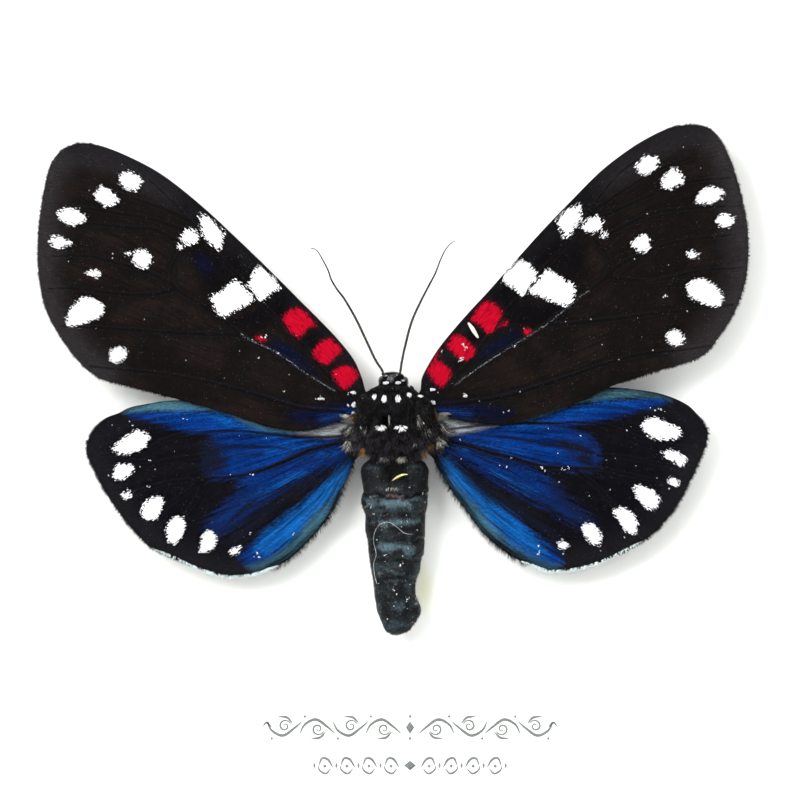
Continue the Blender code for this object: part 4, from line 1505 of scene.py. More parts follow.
    def comb_hairs(self, dark: Material, random: Generator) -> None:
        """Comb long dark hairs over the part of the wing near its root.

        Args:
            dark: Finish of the dark hairs.
            random: Source of the random draws.
        """
        count = self.plan.hairs
        if not count:
            return
        u = random.beta(1.0, 2.2, count) * 0.55
        v = random.uniform(0.12, 0.97, count)
        u, v = np.rint(u * self.steps) / self.steps, np.rint(v * self.rows) / self.rows
        foot = self.spread(u, v)
        ahead = self.spread(np.minimum(u + 0.06, 1), np.clip(v + random.normal(0, 0.004, count), 0, 1))
        reach = random.uniform(5, 12, count)[:, None]
        step = unit(ahead - foot) * reach
        roots = at_pixel(foot, self.height(foot) + 0.03 * MM)
        aims = np.stack([step[:, 0] * PX, np.full(count, -0.09 * MM), -step[:, 1] * PX], axis=1)
        bends = np.zeros((count, 3))
        bends[:, 1] = 0.05 * MM
        bends[:, 2] = random.normal(0, 0.03 * MM, count)
        normals = facing_out(count)
        mesh = Strand().grow(f"{self.plan.node}_hairs", roots, aims, normals,
                             random.uniform(0.012, 0.020, count) * MM, bends)
        link_piece(mesh.name, mesh, dark)

    def grow_fringes(self, dark: Material, white: Material, random: Generator) -> None:
        """Grow the hairs that stand out along the margin.

        Args:
            dark: Finish of the dark hairs.
            white: Finish of the white hairs.
            random: Source of the random draws.
        """
        outline = self.outline()
        middle = outline.mean(axis=0)
        for fringe in self.plan.fringes:
            span = outline[int(fringe.start * (len(outline) - 1)):int(fringe.end * (len(outline) - 1))]
            length = np.linalg.norm(np.diff(span, axis=0), axis=1).sum()
            count = int(length * fringe.density)
            share = np.sort(random.random(count)) * (len(span) - 1.001)
            first = share.astype(int)
            inner = (share - first)[:, None]
            foot = span[first] * (1 - inner) + span[first + 1] * inner
            along = unit(span[first + 1] - span[first])
            outward = np.stack([along[:, 1], -along[:, 0]], axis=1)
            outward *= np.sign(((foot - middle) * outward).sum(axis=1))[:, None]
            aim = unit(outward + along * fringe.lean + random.normal(0, 0.22, (count, 2)))
            taper = np.minimum(1, np.minimum(share, len(span) - share) / 9) ** 0.7
            inset = fringe.inset * taper * random.uniform(0.25, 1.0, count)
            reach = fringe.length * random.uniform(0.15, 1.3, count) ** 1.2 * taper + inset
            over = (0.06 if fringe.white else -0.03) * MM
            roots = at_pixel(foot - aim * inset[:, None], self.height(foot) + over)
            aims = np.zeros((count, 3))
            aims[:, 0] = aim[:, 0] * reach * PX
            aims[:, 2] = -aim[:, 1] * reach * PX
            aims[:, 1] = random.normal(0, 0.03 * MM, count)
            bends = np.zeros((count, 3))
            bends[:, 1] = random.normal(0.04 * MM, 0.04 * MM, count)
            bends[:, 2] = random.normal(0, 0.02 * MM, count)
            normals = facing_out(count)
            radii = random.uniform(0.022, 0.034, count) * MM * fringe.fineness
            mesh = Strand().grow(f"{self.plan.node}_{fringe.name}_fringe", roots, aims, normals,
                                 radii, bends)
            link_piece(mesh.name, mesh, white if fringe.white else dark)


@dataclass(frozen=True)
class BodyLoft:
    """Closed body form through stations.

    A station is its height, left edge and right edge in pixels, then the height of its back
    and of its belly above the board in millimetres.
    """

    stations: str
    cap: float = 0.1
    fullness: float = 1.0

    def surface(self, along: Array, around: Array) -> Array:
        """Return points on the form.

        Args:
            along: Shares from the head end to the tail end.
            around: Angles round the body, 0 at the right and a quarter turn at the back.

        Returns:
            Points in metres as an (n, 3) array.
        """
        known = smooth_path(self.stations, 120)
        grid = np.linspace(0, 1, len(known))
        level, left, right, back, belly = (np.interp(along, grid, column) for column in known.T)
        inner = np.clip(np.minimum(along, 1 - along) / self.cap, 0, 1)
        swell = np.sqrt(np.maximum(1 - (1 - inner) ** 2, 0))
        cos, sin = np.cos(around), np.sin(around)
        cos = np.sign(cos) * np.abs(cos) ** self.fullness
        sin = np.sign(sin) * np.abs(sin) ** self.fullness
        x = (left + right) / 2 + cos * (right - left) / 2 * swell
        lift = (back + belly) / 2 + sin * (back - belly) / 2 * swell
        return at_pixel(np.stack([x, level], axis=1), lift * MM)

    def normals(self, along: Array, around: Array) -> Array:
        """Return outward normals on the form.

        Args:
            along: Shares from the head end to the tail end.
            around: Angles round the body.

        Returns:
            Normals as an (n, 3) array.
        """
        step = 0.004
        low = self.surface(np.clip(along - step, 0, 1), around)
        high = self.surface(np.clip(along + step, 0, 1), around)
        back = self.surface(along, around - step)
        ahead = self.surface(along, around + step)
        normal = unit(np.cross(ahead - back, high - low))
        core = self.surface(along, around) - self.surface(along, around + math.pi)
        return normal * np.sign((normal * core).sum(axis=1) + 1e-15)[:, None]

    def skin(self, name: str, sides: int, rings: int) -> tuple[Mesh, Array, Array]:
        """Model the form's skin.

        Args:
            name: The mesh's name.
            sides: Faces round the body.
            rings: Faces along it.

        Returns:
            The mesh, and the share along and angle round of each point.
        """
        bm = bmesh.new()
        bmesh.ops.create_uvsphere(bm, u_segments=sides, v_segments=rings, radius=1.0)
        mesh = mesh_of(name, bm)
        ball = read_points(mesh)
        along = np.arccos(np.clip(ball[:, 2], -1, 1)) / math.pi
        around = np.arctan2(ball[:, 1], ball[:, 0])
        write_points(mesh, self.surface(along, around))
        if self.faces_inward(mesh):
            mesh.flip_normals()
        return mesh, along, around

    @staticmethod
    def faces_inward(mesh: Mesh) -> bool:
        """Tell whether a closed mesh has its faces turned in.

        Args:
            mesh: The mesh.

        Returns:
            True where they are.
        """
        middle = read_points(mesh).mean(axis=0)
        outward = sum((Vector(middle) - face.center).dot(face.normal) * face.area
                      for face in mesh.polygons)
        return outward > 0


@dataclass(frozen=True)
class Bump:
    """Rounded swelling of a body, or a hollow where its height in millimetres is negative."""

    x: float
    y: float
    across: float
    down: float
    height: float

    def lift(self, pixels: Array) -> Array:
        """Return how much it raises each point, in metres."""
        gap = np.hypot((pixels[:, 0] - self.x) / self.across, (pixels[:, 1] - self.y) / self.down)
        return self.height * MM * np.exp(-gap ** 2 * 1.6)


def read_bumps(text: str) -> tuple[Bump, ...]:
    """Read bumps, whose numbers stand in the order of their fields."""
    return tuple(Bump(*row) for row in read_trace(text))


@dataclass(frozen=True)
class Groove:
    """Furrow along a route on a body."""

    route: Path
    width: float
    depth: float

    def lift(self, pixels: Array) -> Array:
        """Return how much it lowers each point, as a negative height in metres.

        Args:
            pixels: Pixels as an (n, 2) array.

        Returns:
            Heights in metres.
        """
        gap, along = path_gap(pixels, smooth_path(self.route, 16))
        return -self.depth * MM * np.exp(-(gap / self.width) ** 2) * np.sin(math.pi * np.clip(
            along, 0.12, 0.88))


def to_pixel(points: Array) -> Array:
    """Return the pixels of the head-on view that points lie on."""
    return np.stack([points[:, 0] / PX + CENTRE_PX[0],
                     CENTRE_PX[1] - (points[:, 2] - MIDDLE_Z) / PX], axis=1)


@dataclass
class Tuft:
    """Patch of scales or hairs that fan out from a place on the body.

    Its place and reach are in pixels, its hairs' length in millimetres, its angles in radians.
    """

    x: float
    y: float
    across: float
    down: float
    count: int
    length: float
    fan: float = 0.5
    turn: float = 0.0


def read_tufts(text: str) -> tuple[Tuft, ...]:
    """Read tufts, whose numbers stand in the order of their fields.

    Args:
        text: Rows parted by spaces, and a row's numbers by commas.

    Returns:
        The tufts.
    """
    tufts = []
    for row in text.split():
        x, y, across, down, count, *rest = [float(number) for number in row.split(",")]
        tufts.append(Tuft(x, y, across, down, int(count), *rest))
    return tuple(tufts)


@dataclass
class Body:
    """Head, thorax and abdomen with their fur, tufts, eyes, feelers, legs and glue."""

    random: Generator
    thorax: BodyLoft = BodyLoft(
        "384.5,383,401,4.5,2.2 387,375,409,5.2,1.9 390,369.5,414.5,5.6,1.7 394,363.5,420.5,5.9,1.5 "
        "399,358.5,428,6.1,1.4 406,356,433.5,6.3,1.3 418,355.2,436,6.4,1.3 430,356,436,6.3,1.3 "
        "440,359.5,433,6,1.4 448,365,427,5.6,1.6 456,372.5,420,5.1,1.9 464,380,412,4.6,2.1", 0.06, 0.86)
    abdomen: BodyLoft = BodyLoft(
        "451,380,410,3.6,1.9 456,374,416,4.1,1.6 462,365.5,424,4.6,1.3 468,361.5,428.2,4.9,1.1 "
        "474,361.3,428.5,5.1,1 480,362,428,5.1,1 487,364,427.6,5,1 493,363,428,4.9,1 "
        "499,361.2,427.6,5.1,1 506,362.3,427,5.1,1 514,365.5,425,5,1 528,365.5,424.8,4.9,1.05 "
        "540,367.8,424.3,4.8,1.1 552,369,423.5,4.7,1.1 560,370,420.8,4.5,1.2 570,371.6,419.5,4.4,1.2 "
        "578,373,416.4,4.3,1.3 588,374.2,415,4.2,1.3 596,374.8,416,4.1,1.4 604,376,419.8,4.1,1.4 "
        "612,377.6,420.4,4,1.5 620,380.8,416.5,3.8,1.7 627,383.8,411.8,3.5,1.9 631.5,386,408.5,3.3,2.1 "
        "634.8,388,403,3,2.3",
        0.05)
    white_tufts: str = (
        "365,399.3,1.3,1.9,34,0.22,0.2,-0.35 375,396.5,1.6,2.2,34,0.22,0.2,-0.3 "
        "384.4,398.8,2.2,3,60,0.24,0.15,-0.1 398,398.6,2.2,3.4,60,0.24,0.15,0.15 "
        "408.4,395.2,1.7,1.9,34,0.22,0.2,0.5 419.4,396.6,1.8,1.1,30,0.22,0.2,0.9 "
        "380.6,427.6,3,1.5,26,0.32,1.2 400.8,428.2,3.2,1.6,28,0.38,1.5 "
        "363.3,426.3,1.2,2.1,26,0.24,0.3,-0.3 422.6,421.2,0.8,2.1,20,0.24,0.2,0.5")
    head: BodyLoft = BodyLoft(
        "373.2,386.5,398,3.9,2.4 375.5,383.8,401.5,4.4,2 379,382,404,4.7,1.8 384,380,407,4.9,1.8 "
        "389,381,405,4.7,2", 0.2)

    def build(self, finishes: dict[str, Material]) -> None:
        """Build every piece of the body.

        Args:
            finishes: Every finish by its name.
        """
        self.build_thorax(finishes)
        self.build_head(finishes)
        self.build_abdomen(finishes)
        self.build_feelers(finishes["horn"])
        self.build_legs(finishes["horn"])
        self.build_glue(finishes["glue"])

    def coat(self, name: str, loft: BodyLoft, count: int, length: float, comb: Vector,
             material: Material, keep: Callable[[Array], Array],
             radius: float = 0.016, stand: float = 0.45, spread: float = 0.25,
             bumps: Sequence[Bump | Groove] = ()) -> None:
        """Cover a form with hairs that are combed one way.

        Args:
            name: The piece's name.
            loft: The form.
            count: How many hairs are tried.
            length: Their length in millimetres.
            comb: The direction that they are combed in.
            material: Their finish.
            keep: Tells which pixels of the head-on view carry them.
            radius: Their radius in millimetres.
            stand: How far they stand up from the skin.
            spread: How much their directions vary.
            bumps: Swellings and furrows of the form, which carry the hairs along.
        """
        along = self.random.random(count)
        around = self.random.uniform(-0.25, math.pi + 0.25, count)
        roots = loft.surface(along, around)
        kept = keep(to_pixel(roots))
        along, around, roots = along[kept], around[kept], roots[kept]
        normals = loft.normals(along, around)
        if bumps:
            rise = sum(bump.lift(to_pixel(roots)) for bump in bumps) * np.clip(-normals[:, 1] * 2, 0, 1)
            roots = roots + normals * rise[:, None]
        count = len(roots)
        side = np.zeros((count, 3))
        side[:, 0] = normals[:, 0] * 0.5
        aims = unit(normals * stand + np.array(comb) + side + self.random.normal(0, spread, (count, 3)))
        lengths = length * MM * self.random.uniform(0.55, 1.2, count)
        aims *= lengths[:, None]
        bends = np.array(comb) * lengths[:, None] * 0.3 - normals * lengths[:, None] * 0.25
        radii = radius * MM * self.random.uniform(0.7, 1.3, count)
        mesh = Strand().grow(name, roots - normals * 0.02 * MM, aims, normals, radii, bends)
        link_piece(name, mesh, material)

    def tufts(self, name: str, places: str, loft: BodyLoft | float, slot: str,
              material: Material, cut: Cut = Cut.BLADE, radius: float = 0.05) -> None:
        """Grow fans of scales or hairs that lie over a form.

        Args:
            name: The piece's name.
            places: The text that read_tufts takes.
            loft: The form that they lie on, or their height above the board in metres.
            slot: The record's material slot; not used.
            material: Their finish.
            cut: Whether they are scales or hairs.
            radius: Half their width in millimetres.
        """
        roots, aims, normals = [], [], []
        for tuft in read_tufts(places):
            ring = self.random.uniform(0, math.tau, tuft.count)
            reach = np.sqrt(self.random.random(tuft.count))
            x = np.cos(ring) * reach * tuft.across
            y = np.sin(ring) * reach * tuft.down
            turn = tuft.turn + tuft.fan * x / max(tuft.across, 0.1) + self.random.normal(0, 0.12, tuft.count)
            pixels = np.stack([tuft.x + x, tuft.y + y - tuft.length * 5], axis=1)
            length = tuft.length * MM * self.random.uniform(0.8, 1.2, tuft.count)
            aim = np.stack([np.sin(turn), np.full(tuft.count, -0.12), -np.cos(turn)], axis=1)
            lift = loft if isinstance(loft, float) else self.back_of(loft, pixels)
            base = at_pixel(pixels, lift + self.random.uniform(0.12, 0.24, tuft.count) * MM)
            roots.append(base)
            aims.append(aim * length[:, None])
            normals.append(facing_out(tuft.count))
        root, aim, normal = np.vstack(roots), np.vstack(aims), np.vstack(normals)
        radii = radius * MM * self.random.uniform(0.8, 1.25, len(root))
        bends = np.zeros_like(aim)
        bends[:, 1] = 0.06 * MM
        strand = Strand(cut, 4 if cut is Cut.BLADE else 3, (0.3, 0.6, 0.85))
        mesh = strand.grow(name, root, aim, normal, radii, bends)
        link_piece(name, mesh, material)

    @staticmethod
    def back_of(loft: BodyLoft, pixels: Array) -> Array:
        """Return the height above the board of a form's back under each pixel.

        Args:
            loft: The form.
            pixels: Pixels as an (n, 2) array.

        Returns:
            Heights in metres.
        """
        known = smooth_path(loft.stations, 120)
        left, right, back, belly = (np.interp(pixels[:, 1], known[:, 0], column)
                                    for column in known.T[1:])
        share = np.clip((pixels[:, 0] - (left + right) / 2) / ((right - left) / 2), -0.98, 0.98)
        return ((back + belly) / 2 + (back - belly) / 2 * np.sqrt(1 - share ** 2)) * MM

    def build_thorax(self, finishes: dict[str, Material]) -> None:
        """Model the thorax: lobes, fur, the pin's old hole and the white scale tufts.

        Args:
            finishes: Every finish by its name.
        """
        mesh, along, around = self.thorax.skin("thorax_form", 96, 84)
        points = read_points(mesh)
        pixels = to_pixel(points)
        normals = self.thorax.normals(along, around)
        lobes = read_bumps(
            "363.5,415,7,20,0.28 427,413,8,20,0.28 392,408,20,12,0.25 392,388,18,4,0.2 "
            "389,421,1.8,6,0.2 381,430,9,5,0.14 402,430,9,5,0.14 376,453,5,7,-0.5 413,452,5,8,-0.5 "
            "394,447,12,9,0.22")
        furrows = (Groove("371,392 373.5,405 371,420 366.5,436 365,447", 1.7, 0.42),
                   Groove("414,391 415.5,405 413.5,418 418,432 423,444", 1.7, 0.42),
                   Groove("367,394 380,391.5 393,390.8 406,391 419,392.5", 1.4, 0.30),
                   Groove("373,433 384,438.5 394,439.5 405,438.5 416,433", 1.6, 0.20),
                   Groove("384.9,415.5 384.8,421 384.9,426", 2.1, 1.5))
        bumps = (*lobes, *furrows)
        front = np.clip(-normals[:, 1] * 2, 0, 1)
        lift = sum(bump.lift(pixels) for bump in bumps) * front
        rough = 0.02 * MM * np.sin(pixels[:, 0] * 2.3) * np.sin(pixels[:, 1] * 2.1 + pixels[:, 0])
        write_points(mesh, points + normals * (lift + rough)[:, None] - normals * 0.05 * MM)
        link_piece("thorax_form", mesh, finishes["skin"], ["thorax"])
        # A thin near-black disc in the pin's old hole is painted shade for the hole's dark inside.
        bm = bmesh.new()
        bmesh.ops.create_icosphere(bm, subdivisions=4, radius=1.0)
        hole = Vector(at_pixel(np.array([[384.8, 420.4]]), 6.34 * MM)[0])
        for vert in bm.verts:
            x, y, z = vert.co
            vert.co = hole + Vector((x * 2.1 * PX, y * 0.05 * MM, z * 5.2 * PX))
        link_piece("pin_hole_painted_shade", mesh_of("pin_hole_painted_shade", bm), finishes["hollow"])

        def clear_of_pin(spots: Array) -> Array:
            """Tell which places lie outside the pin's old hole and the white tufts.

            Args:
                spots: Pixels as an (n, 2) array.

            Returns:
                True for each place that does.
            """
            free = np.hypot((spots[:, 0] - 384.8) / 3.4, (spots[:, 1] - 421) / 6.2) > 1
            for tuft in read_tufts(self.white_tufts):
                gap = np.hypot((spots[:, 0] - tuft.x) / (tuft.across + 0.6),
                               (spots[:, 1] - tuft.y + 2.0) / (tuft.down + 2.6))
                free &= gap > 1
            return free

        def lower(spots: Array) -> Array:
            """Tell which places lie on the lower half, where the fur is greyer."""
            return clear_of_pin(spots) & (spots[:, 1] + self.random.normal(0, 5, len(spots)) > 428)

        down = Vector((0, 0, -0.9))
        self.coat("thorax_fur", self.thorax, 11000, 0.34, down, finishes["fur"],
                  clear_of_pin, spread=0.35, bumps=bumps)
        self.coat("thorax_light_fur", self.thorax, 1300, 0.42, down, finishes["olive_fur"],
                  clear_of_pin, radius=0.011, stand=0.5, spread=0.4, bumps=bumps)
        self.coat("thorax_grey_fur", self.thorax, 6500, 0.62, down, finishes["grey_fur"],
                  lower, radius=0.013, stand=0.6, spread=0.35, bumps=bumps)
        self.tufts("thorax_white_scales", self.white_tufts, self.thorax, "black_body_fur",
                   finishes["white"], radius=0.03)
        self.tufts(
            "thorax_pale_hairs",
            "383.6,459.5,3.2,1.4,46,0.36,0.6 402,459.5,3.8,1.6,70,0.44,0.7 389,421,0.6,5,30,0.26,0.2 "
            "417.5,422,1,5,12,0.7,0.2,0.4 414.6,445,1.2,2.4,10,0.35,0.3 "
            "391.5,388.6,1.8,0.8,12,0.26,0.5 365,430,2,5,14,0.5,0.4,-0.3 426,432,2.4,6,18,0.6,0.5,0.4",
            self.thorax, "black_body_fur", finishes["pale"], Cut.HAIR, 0.013)
        self.tufts(
            "wing_root_hairs",
            "352,436,6,9,520,0.8,0.5,-0.6 355,448,5,6,320,0.8,0.5,-0.4 439,432,6,9,520,0.8,0.5,0.6 "
            "435,446,5,7,320,0.8,0.5,0.4",
            3.6 * MM, "black_body_fur", finishes["grey_fur"], Cut.HAIR, 0.018)
        self.tufts(
            "wing_root_amber",
            "354,418,2.6,3.4,60,0.5,0.5,-0.3 434,416,2.8,3.6,60,0.5,0.5,0.3 "
            "363,454,2.4,4,50,0.5,0.5,-0.3 424,454,2.4,4,50,0.5,0.5,0.3 429,446,2.2,3,40,0.5,0.5,0.3",
            4.4 * MM, "black_body_fur", finishes["amber"], Cut.HAIR, 0.02)
        self.tufts(
            "wing_root_pale",
            "347,418,3.2,1.2,40,0.5,0.4,-1.3 442,416,4,1.2,46,0.5,0.4,1.3 "
            "348,447,3.4,4,30,0.55,0.6,-0.5 439,444,3.2,4.2,30,0.55,0.6,0.5 "
            "350,432,4,4,14,0.7,0.5,-0.8 443,430,4,4,14,0.7,0.5,0.8",
            4.2 * MM, "black_body_fur", finishes["pale"], Cut.HAIR, 0.014)
        self.tufts(
            "wing_root_white",
            "353.8,392.8,2.4,1,26,0.16,0.4,-0.8 354.2,404.6,1.9,2.1,34,0.2,0.4 "
            "348.6,405,0.9,0.9,6,0.16,0.4 431.4,389.8,2.5,1,26,0.16,0.4,0.8 "
            "432.6,402.8,2.1,1.7,34,0.2,0.4 354,412.8,1.9,1.1,18,0.18,0.5 "
            "433,411.2,1.9,1.1,18,0.18,0.5 465,395.6,1.8,1.4,16,0.14,0.4 321,398.8,3,1.2,16,0.14,0.4",
            3.95 * MM, "black_body_fur", finishes["white"], Cut.BLADE, 0.034)

    def build_head(self, finishes: dict[str, Material]) -> None:
        """Model the head with its fur and white crescents, and the eyes.

        Args:
            finishes: Every finish by its name.
        """
        mesh = self.head.skin("head_form", 48, 36)[0]
        link_piece("head_form", mesh, finishes["skin"], ["head"])
        self.coat("head_fur", self.head, 2200, 0.26, Vector((0, 0, 0.15)), finishes["fur"],
                  lambda spots: spots[:, 1] < 390, stand=0.8)
        self.tufts(
            "head_white_scales",
            "386,382.8,2.4,0.9,26,0.16,0.5 397.8,382.8,2.4,0.9,26,0.16,0.5,0.3 "
            "402.8,380.6,1.5,0.9,14,0.14,0.3,0.6 408.4,385.5,0.9,1.1,12,0.14,0.3,0.6 "
            "396.7,374.8,0.8,1,12,0.14,0.3 385.5,376.2,1.8,0.6,14,0.16,0.5",
            self.head, "black_body_fur", finishes["white"], Cut.BLADE, 0.045)
        self.tufts(
            "head_grey_hairs",
            "390.8,378.6,2.6,3.2,90,0.28,0.6 394,376,2,2,30,0.24,0.6",
            self.head, "black_body_fur", finishes["grey"], Cut.HAIR, 0.02)
        for side, x, y in (("left", 381.6, 380.6), ("right", 405.2, 380.9)):
            bm = bmesh.new()
            bmesh.ops.create_icosphere(bm, subdivisions=4, radius=MM)
            bmesh.ops.scale(bm, vec=(0.27, 0.75, 0.38), verts=bm.verts)
            bmesh.ops.translate(bm, vec=at_pixel(np.array([[x, y]]), 3.3 * MM)[0], verts=bm.verts)
            link_piece(f"eye_{side}_facets", mesh_of(f"eye_{side}_facets", bm), finishes["eye"],
                       [f"eye_{side}"])

    def build_abdomen(self, finishes: dict[str, Material]) -> None:
        """Model the abdomen: overlapping segments, creases, patches, lint and a curled shred.

        Args:
            finishes: Every finish by its name.
        """
        mesh, along, around = self.abdomen.skin("abdomen_form", 128, 360)
        points = read_points(mesh)
        pixels = to_pixel(points)
        normals = self.abdomen.normals(along, around)
        across = (pixels[:, 0] - 395) / 32
        front = np.clip(-normals[:, 1] * 2, 0, 1)
        crease_shade_and_dark, shape, bloom = np.zeros((3, len(points)))
        wobble = 1.1 * np.sin(pixels[:, 0] * 0.31) + 0.7 * np.sin(pixels[:, 0] * 0.83 + pixels[:, 1] * 0.1)
        creases = read_trace(
            "496.5,0.3,-4,0.8 515.5,0.09,-1.5,0.65 541,0.11,-2,0.5 561,0.09,-2,0.32 579,0.1,-2,0.3 "
            "600,0.09,-1.5,0.38 618,0.07,-2,0.42")
        for level, depth, sag, tint in creases:
            gap = pixels[:, 1] - (level + sag * across ** 2 + wobble)
            side = 0.35 + 0.65 * front
            shape -= depth * MM * np.exp(-(gap / 1.6) ** 2) * side
            shape += depth * 0.7 * MM * np.exp(-((gap + 4.5) / 4.0) ** 2) * side
            # painted shade along each segment crease
            crease_shade_and_dark = np.maximum(crease_shade_and_dark, min(depth * 3.2, 0.95) * np.exp(-(gap / 1.5) ** 2))
            bloom = np.maximum(bloom, tint * np.exp(-((gap - 7) / 5) ** 2) * (1 - 0.7 * across ** 2))
        dents = read_bumps(
            "394,468,12,14,-0.4 371,471,8,8,0.22 417,470,9,8,0.24 380,508,8,3,-0.14 395,503,16,4,0.12 "
            "402,523,12,4,0.14 382,536,7,6,-0.12 389,547,9,4,0.14 400,572,9,4,0.12 381,590,6,14,-0.1 "
            "417,607,4,7,0.14 398,612,10,7,0.08 412,590,5,8,-0.16 375,555,4,18,-0.1 414,545,6,12,0.08")
        shape += sum(dent.lift(pixels) for dent in dents) * front
        rough = np.sin(pixels[:, 0] * 0.9 + 2 * np.sin(pixels[:, 1] * 0.33)) * np.sin(pixels[:, 1] * 0.71)
        shape += 0.022 * MM * rough
        write_points(mesh, points + normals * shape[:, None])
        patches = read_trace(
            "371,468,7,3,0.9 417,467,7,2.8,1 393,502.5,17,5,0.9 414,499,9,5,0.75 373,499,5,4,0.5 "
            "404,522,12,5,0.8 386,523,9,5,0.6 393,515,4,2.5,0.5 389,547,9,4,0.95 401,572.5,8,3,0.75 "
            "385,572,7,2,0.3 398,532,13,5,0.55 408,555,10,9,0.45 400,588,9,8,0.2 401,607,12,6,0.42 "
            "399,622,12,6,0.5 415,604,4,5,0.35 395,487,11,4,0.35 418,480,6,8,0.12 370,478,5,8,0.1 "
            "413,516,5,3,0.35 396,556,8,4,0.3")
        for x, y, wide, tall, strength in patches:
            gap = np.hypot((pixels[:, 0] - x) / wide, (pixels[:, 1] - y) / tall)
            bloom = np.maximum(bloom, strength * np.exp(-gap ** 2 * 1.1))
        saddle = np.hypot((pixels[:, 0] - 393.5) / 14, (pixels[:, 1] - 469) / 15)
        # the saddle is darker, and the abdomen darkens towards its base and its tail end
        crease_shade_and_dark = np.maximum(crease_shade_and_dark, 0.92 * np.exp(-saddle ** 4 * 1.2))
        crease_shade_and_dark = np.maximum(crease_shade_and_dark, 0.7 * ease(pixels[:, 1], 495, 486))
        crease_shade_and_dark = np.maximum(crease_shade_and_dark, 0.45 * ease(pixels[:, 1], 575, 602))
        bloom = bloom * (1 - 0.9 * np.exp(-saddle ** 4 * 1.2))
        flank = ease(np.abs(across), 0.62, 1.0)
        blush = np.exp(-((pixels[:, 1] - 495.4) / 1.0) ** 2) * ease(np.abs(pixels[:, 0] - 395), 12, 5)
        for name, values in (("bloom", bloom), ("crease_shade_and_dark", crease_shade_and_dark), ("flank", flank), ("blush", blush)):
            write_layer(mesh, name, values)
        link_piece("abdomen_form", mesh, finishes["abdomen"], ["abdomen"])
        down = Vector((0, 0, -1.1))
        self.coat("abdomen_hairs", self.abdomen, 5200, 0.24, down, finishes["abdomen_hair"],
                  lambda spots: np.abs(spots[:, 0] - 394) > 20, radius=0.012,
                  stand=0.35, spread=0.3)
        self.coat("abdomen_scurf", self.abdomen, 3400, 0.15, down, finishes["abdomen_hair"],
                  lambda spots: spots[:, 1] > 497, radius=0.02, stand=0.15)
        self.coat("abdomen_saddle", self.abdomen, 14000, 0.5, down, finishes["fur"],
                  lambda spots: (np.abs(spots[:, 0] - 393) < 15) & (spots[:, 1] < 480),
                  radius=0.014, stand=0.4, spread=0.35)
        self.tufts(
            "abdomen_pale_hairs",
            "372.5,497,3,1.2,9,0.34,0.8,0.9 370,506,3,2,8,0.4,0.8,-0.4 406,503,2.6,3,9,0.4,0.7,0.5 "
            "390,489,9,1.2,40,0.26,0.5 384,525,7,3,16,0.2,0.8 404,521,8,3,16,0.2,0.8 "
            "417,602,1.6,5,34,0.34,0.5 380.5,573,1.4,2,5,0.4,0.8",
            self.abdomen, "slate_abdomen", finishes["pale"], Cut.HAIR, 0.010)
        self.add_lint(finishes)

    def add_lint(self, finishes: dict[str, Material]) -> None:
        """Lay the white lint fibre, the golden curl and small flakes on the body and wings.

        Args:
            finishes: Every finish by its name.
        """
        pixels = smooth_path(
            "412,534 404,532.2 397.6,527 389.5,521.7 381.5,523 375.6,529.7 373.6,540.4 376.2,553.8 "
            "373.8,563 374.5,574 376.8,583.3", 90)
        route = at_pixel(pixels, self.back_of(self.abdomen, pixels) + 0.12 * MM)
        mesh = self.tube("lint_fibre", route,
                         lambda t: 0.011 + 0.008 * abs(math.sin(17 * t)) + 0.012 * t ** 6, 6)
        link_piece("lint_fibre", mesh, finishes["lint"])
        curl = smooth_path("392.5,480 396,477.4 400.5,475 404.5,474 407.5,474.2", 24)
        route = at_pixel(curl, self.back_of(self.abdomen, curl) + 0.16 * MM)
        mesh = self.tube("golden_curl", route, lambda t: 0.09 * math.sin(math.pi * (0.12 + 0.76 * t)), 8)
        link_piece("golden_curl", mesh, finishes["gold"])
        flake = smooth_path("468,323 471,327 473.5,331 478,338", 14)
        wing = FOREWING_RIGHT.lift + 0.2 * MM
        mesh = self.tube("cream_flake", at_pixel(flake, wing),
                         lambda t: 0.17 * math.sin(math.pi * (0.15 + 0.72 * t)), 8)
        write_points(mesh, self.flatten(read_points(mesh), BOARD_Y - wing, 0.35))
        link_piece("cream_flake", mesh, finishes["cream"])
        lay_flakes(
            "abdomen_flakes",
            "400.5,564.8,1.6 408,548,0.8 403,556,0.8 394,589.5,1.1 396.5,593.5,0.9 409,598,1 "
            "409,584,0.8 378.5,583,1 377.5,538,1 374,514,1 423,493,0.9 425,501,0.8 385.5,554.5,0.9 "
            "387,617.8,0.9 418.5,607,1.1 413,623,0.8 392,580,0.8 416.5,529.5,0.8 409,487,0.9 "
            "371,507,1.2 407,600,1 393.5,606,0.8 407.5,607.5,0.8 413,616,0.8 402.5,562,0.8 406,515,0.7 "
            "400.7,526,0.7 385,561,0.7",
            lambda pixels: self.back_of(self.abdomen, pixels) + 0.10 * MM,
            finishes["white"], self.random)

    @staticmethod
    def flatten(points: Array, level: float, share: float) -> Array:
        """Press points towards a plane at one depth.

        Args:
            points: Points as an (n, 3) array.
            level: The plane's depth.
            share: Share of their distance from it that is left.

        Returns:
            The pressed points.
        """
        pressed = points.copy()
        pressed[:, 1] = level + (pressed[:, 1] - level) * share
        return pressed

    @staticmethod
    def tube(name: str, route: Array, radius: Callable[[float], float], sides: int) -> Mesh:
        """Sweep a circle along a route.

        Args:
            name: The mesh's name.
            route: The route's points.
            radius: Gives the radius in millimetres at each share of the route.
            sides: Faces round the tube.

        Returns:
            A closed mesh.
        """
        steps = len(route) - 1
        bm = ringed_rod(sides, 1.0, [number / steps for number in range(1, steps)])
        tangents = unit(np.gradient(route, axis=0))
        side = Vector((0, -1, 0))
        for vert in bm.verts:
            place = min(steps, max(0, round(vert.co.z * steps)))
            tangent = Vector(tangents[place])
            across = tangent.cross(side).normalized()
            upward = across.cross(tangent)
            size = max(radius(place / steps), 0.004) * MM
            vert.co = Vector(route[place]) + (across * vert.co.x + upward * vert.co.y) * size
        return mesh_of(name, bm)

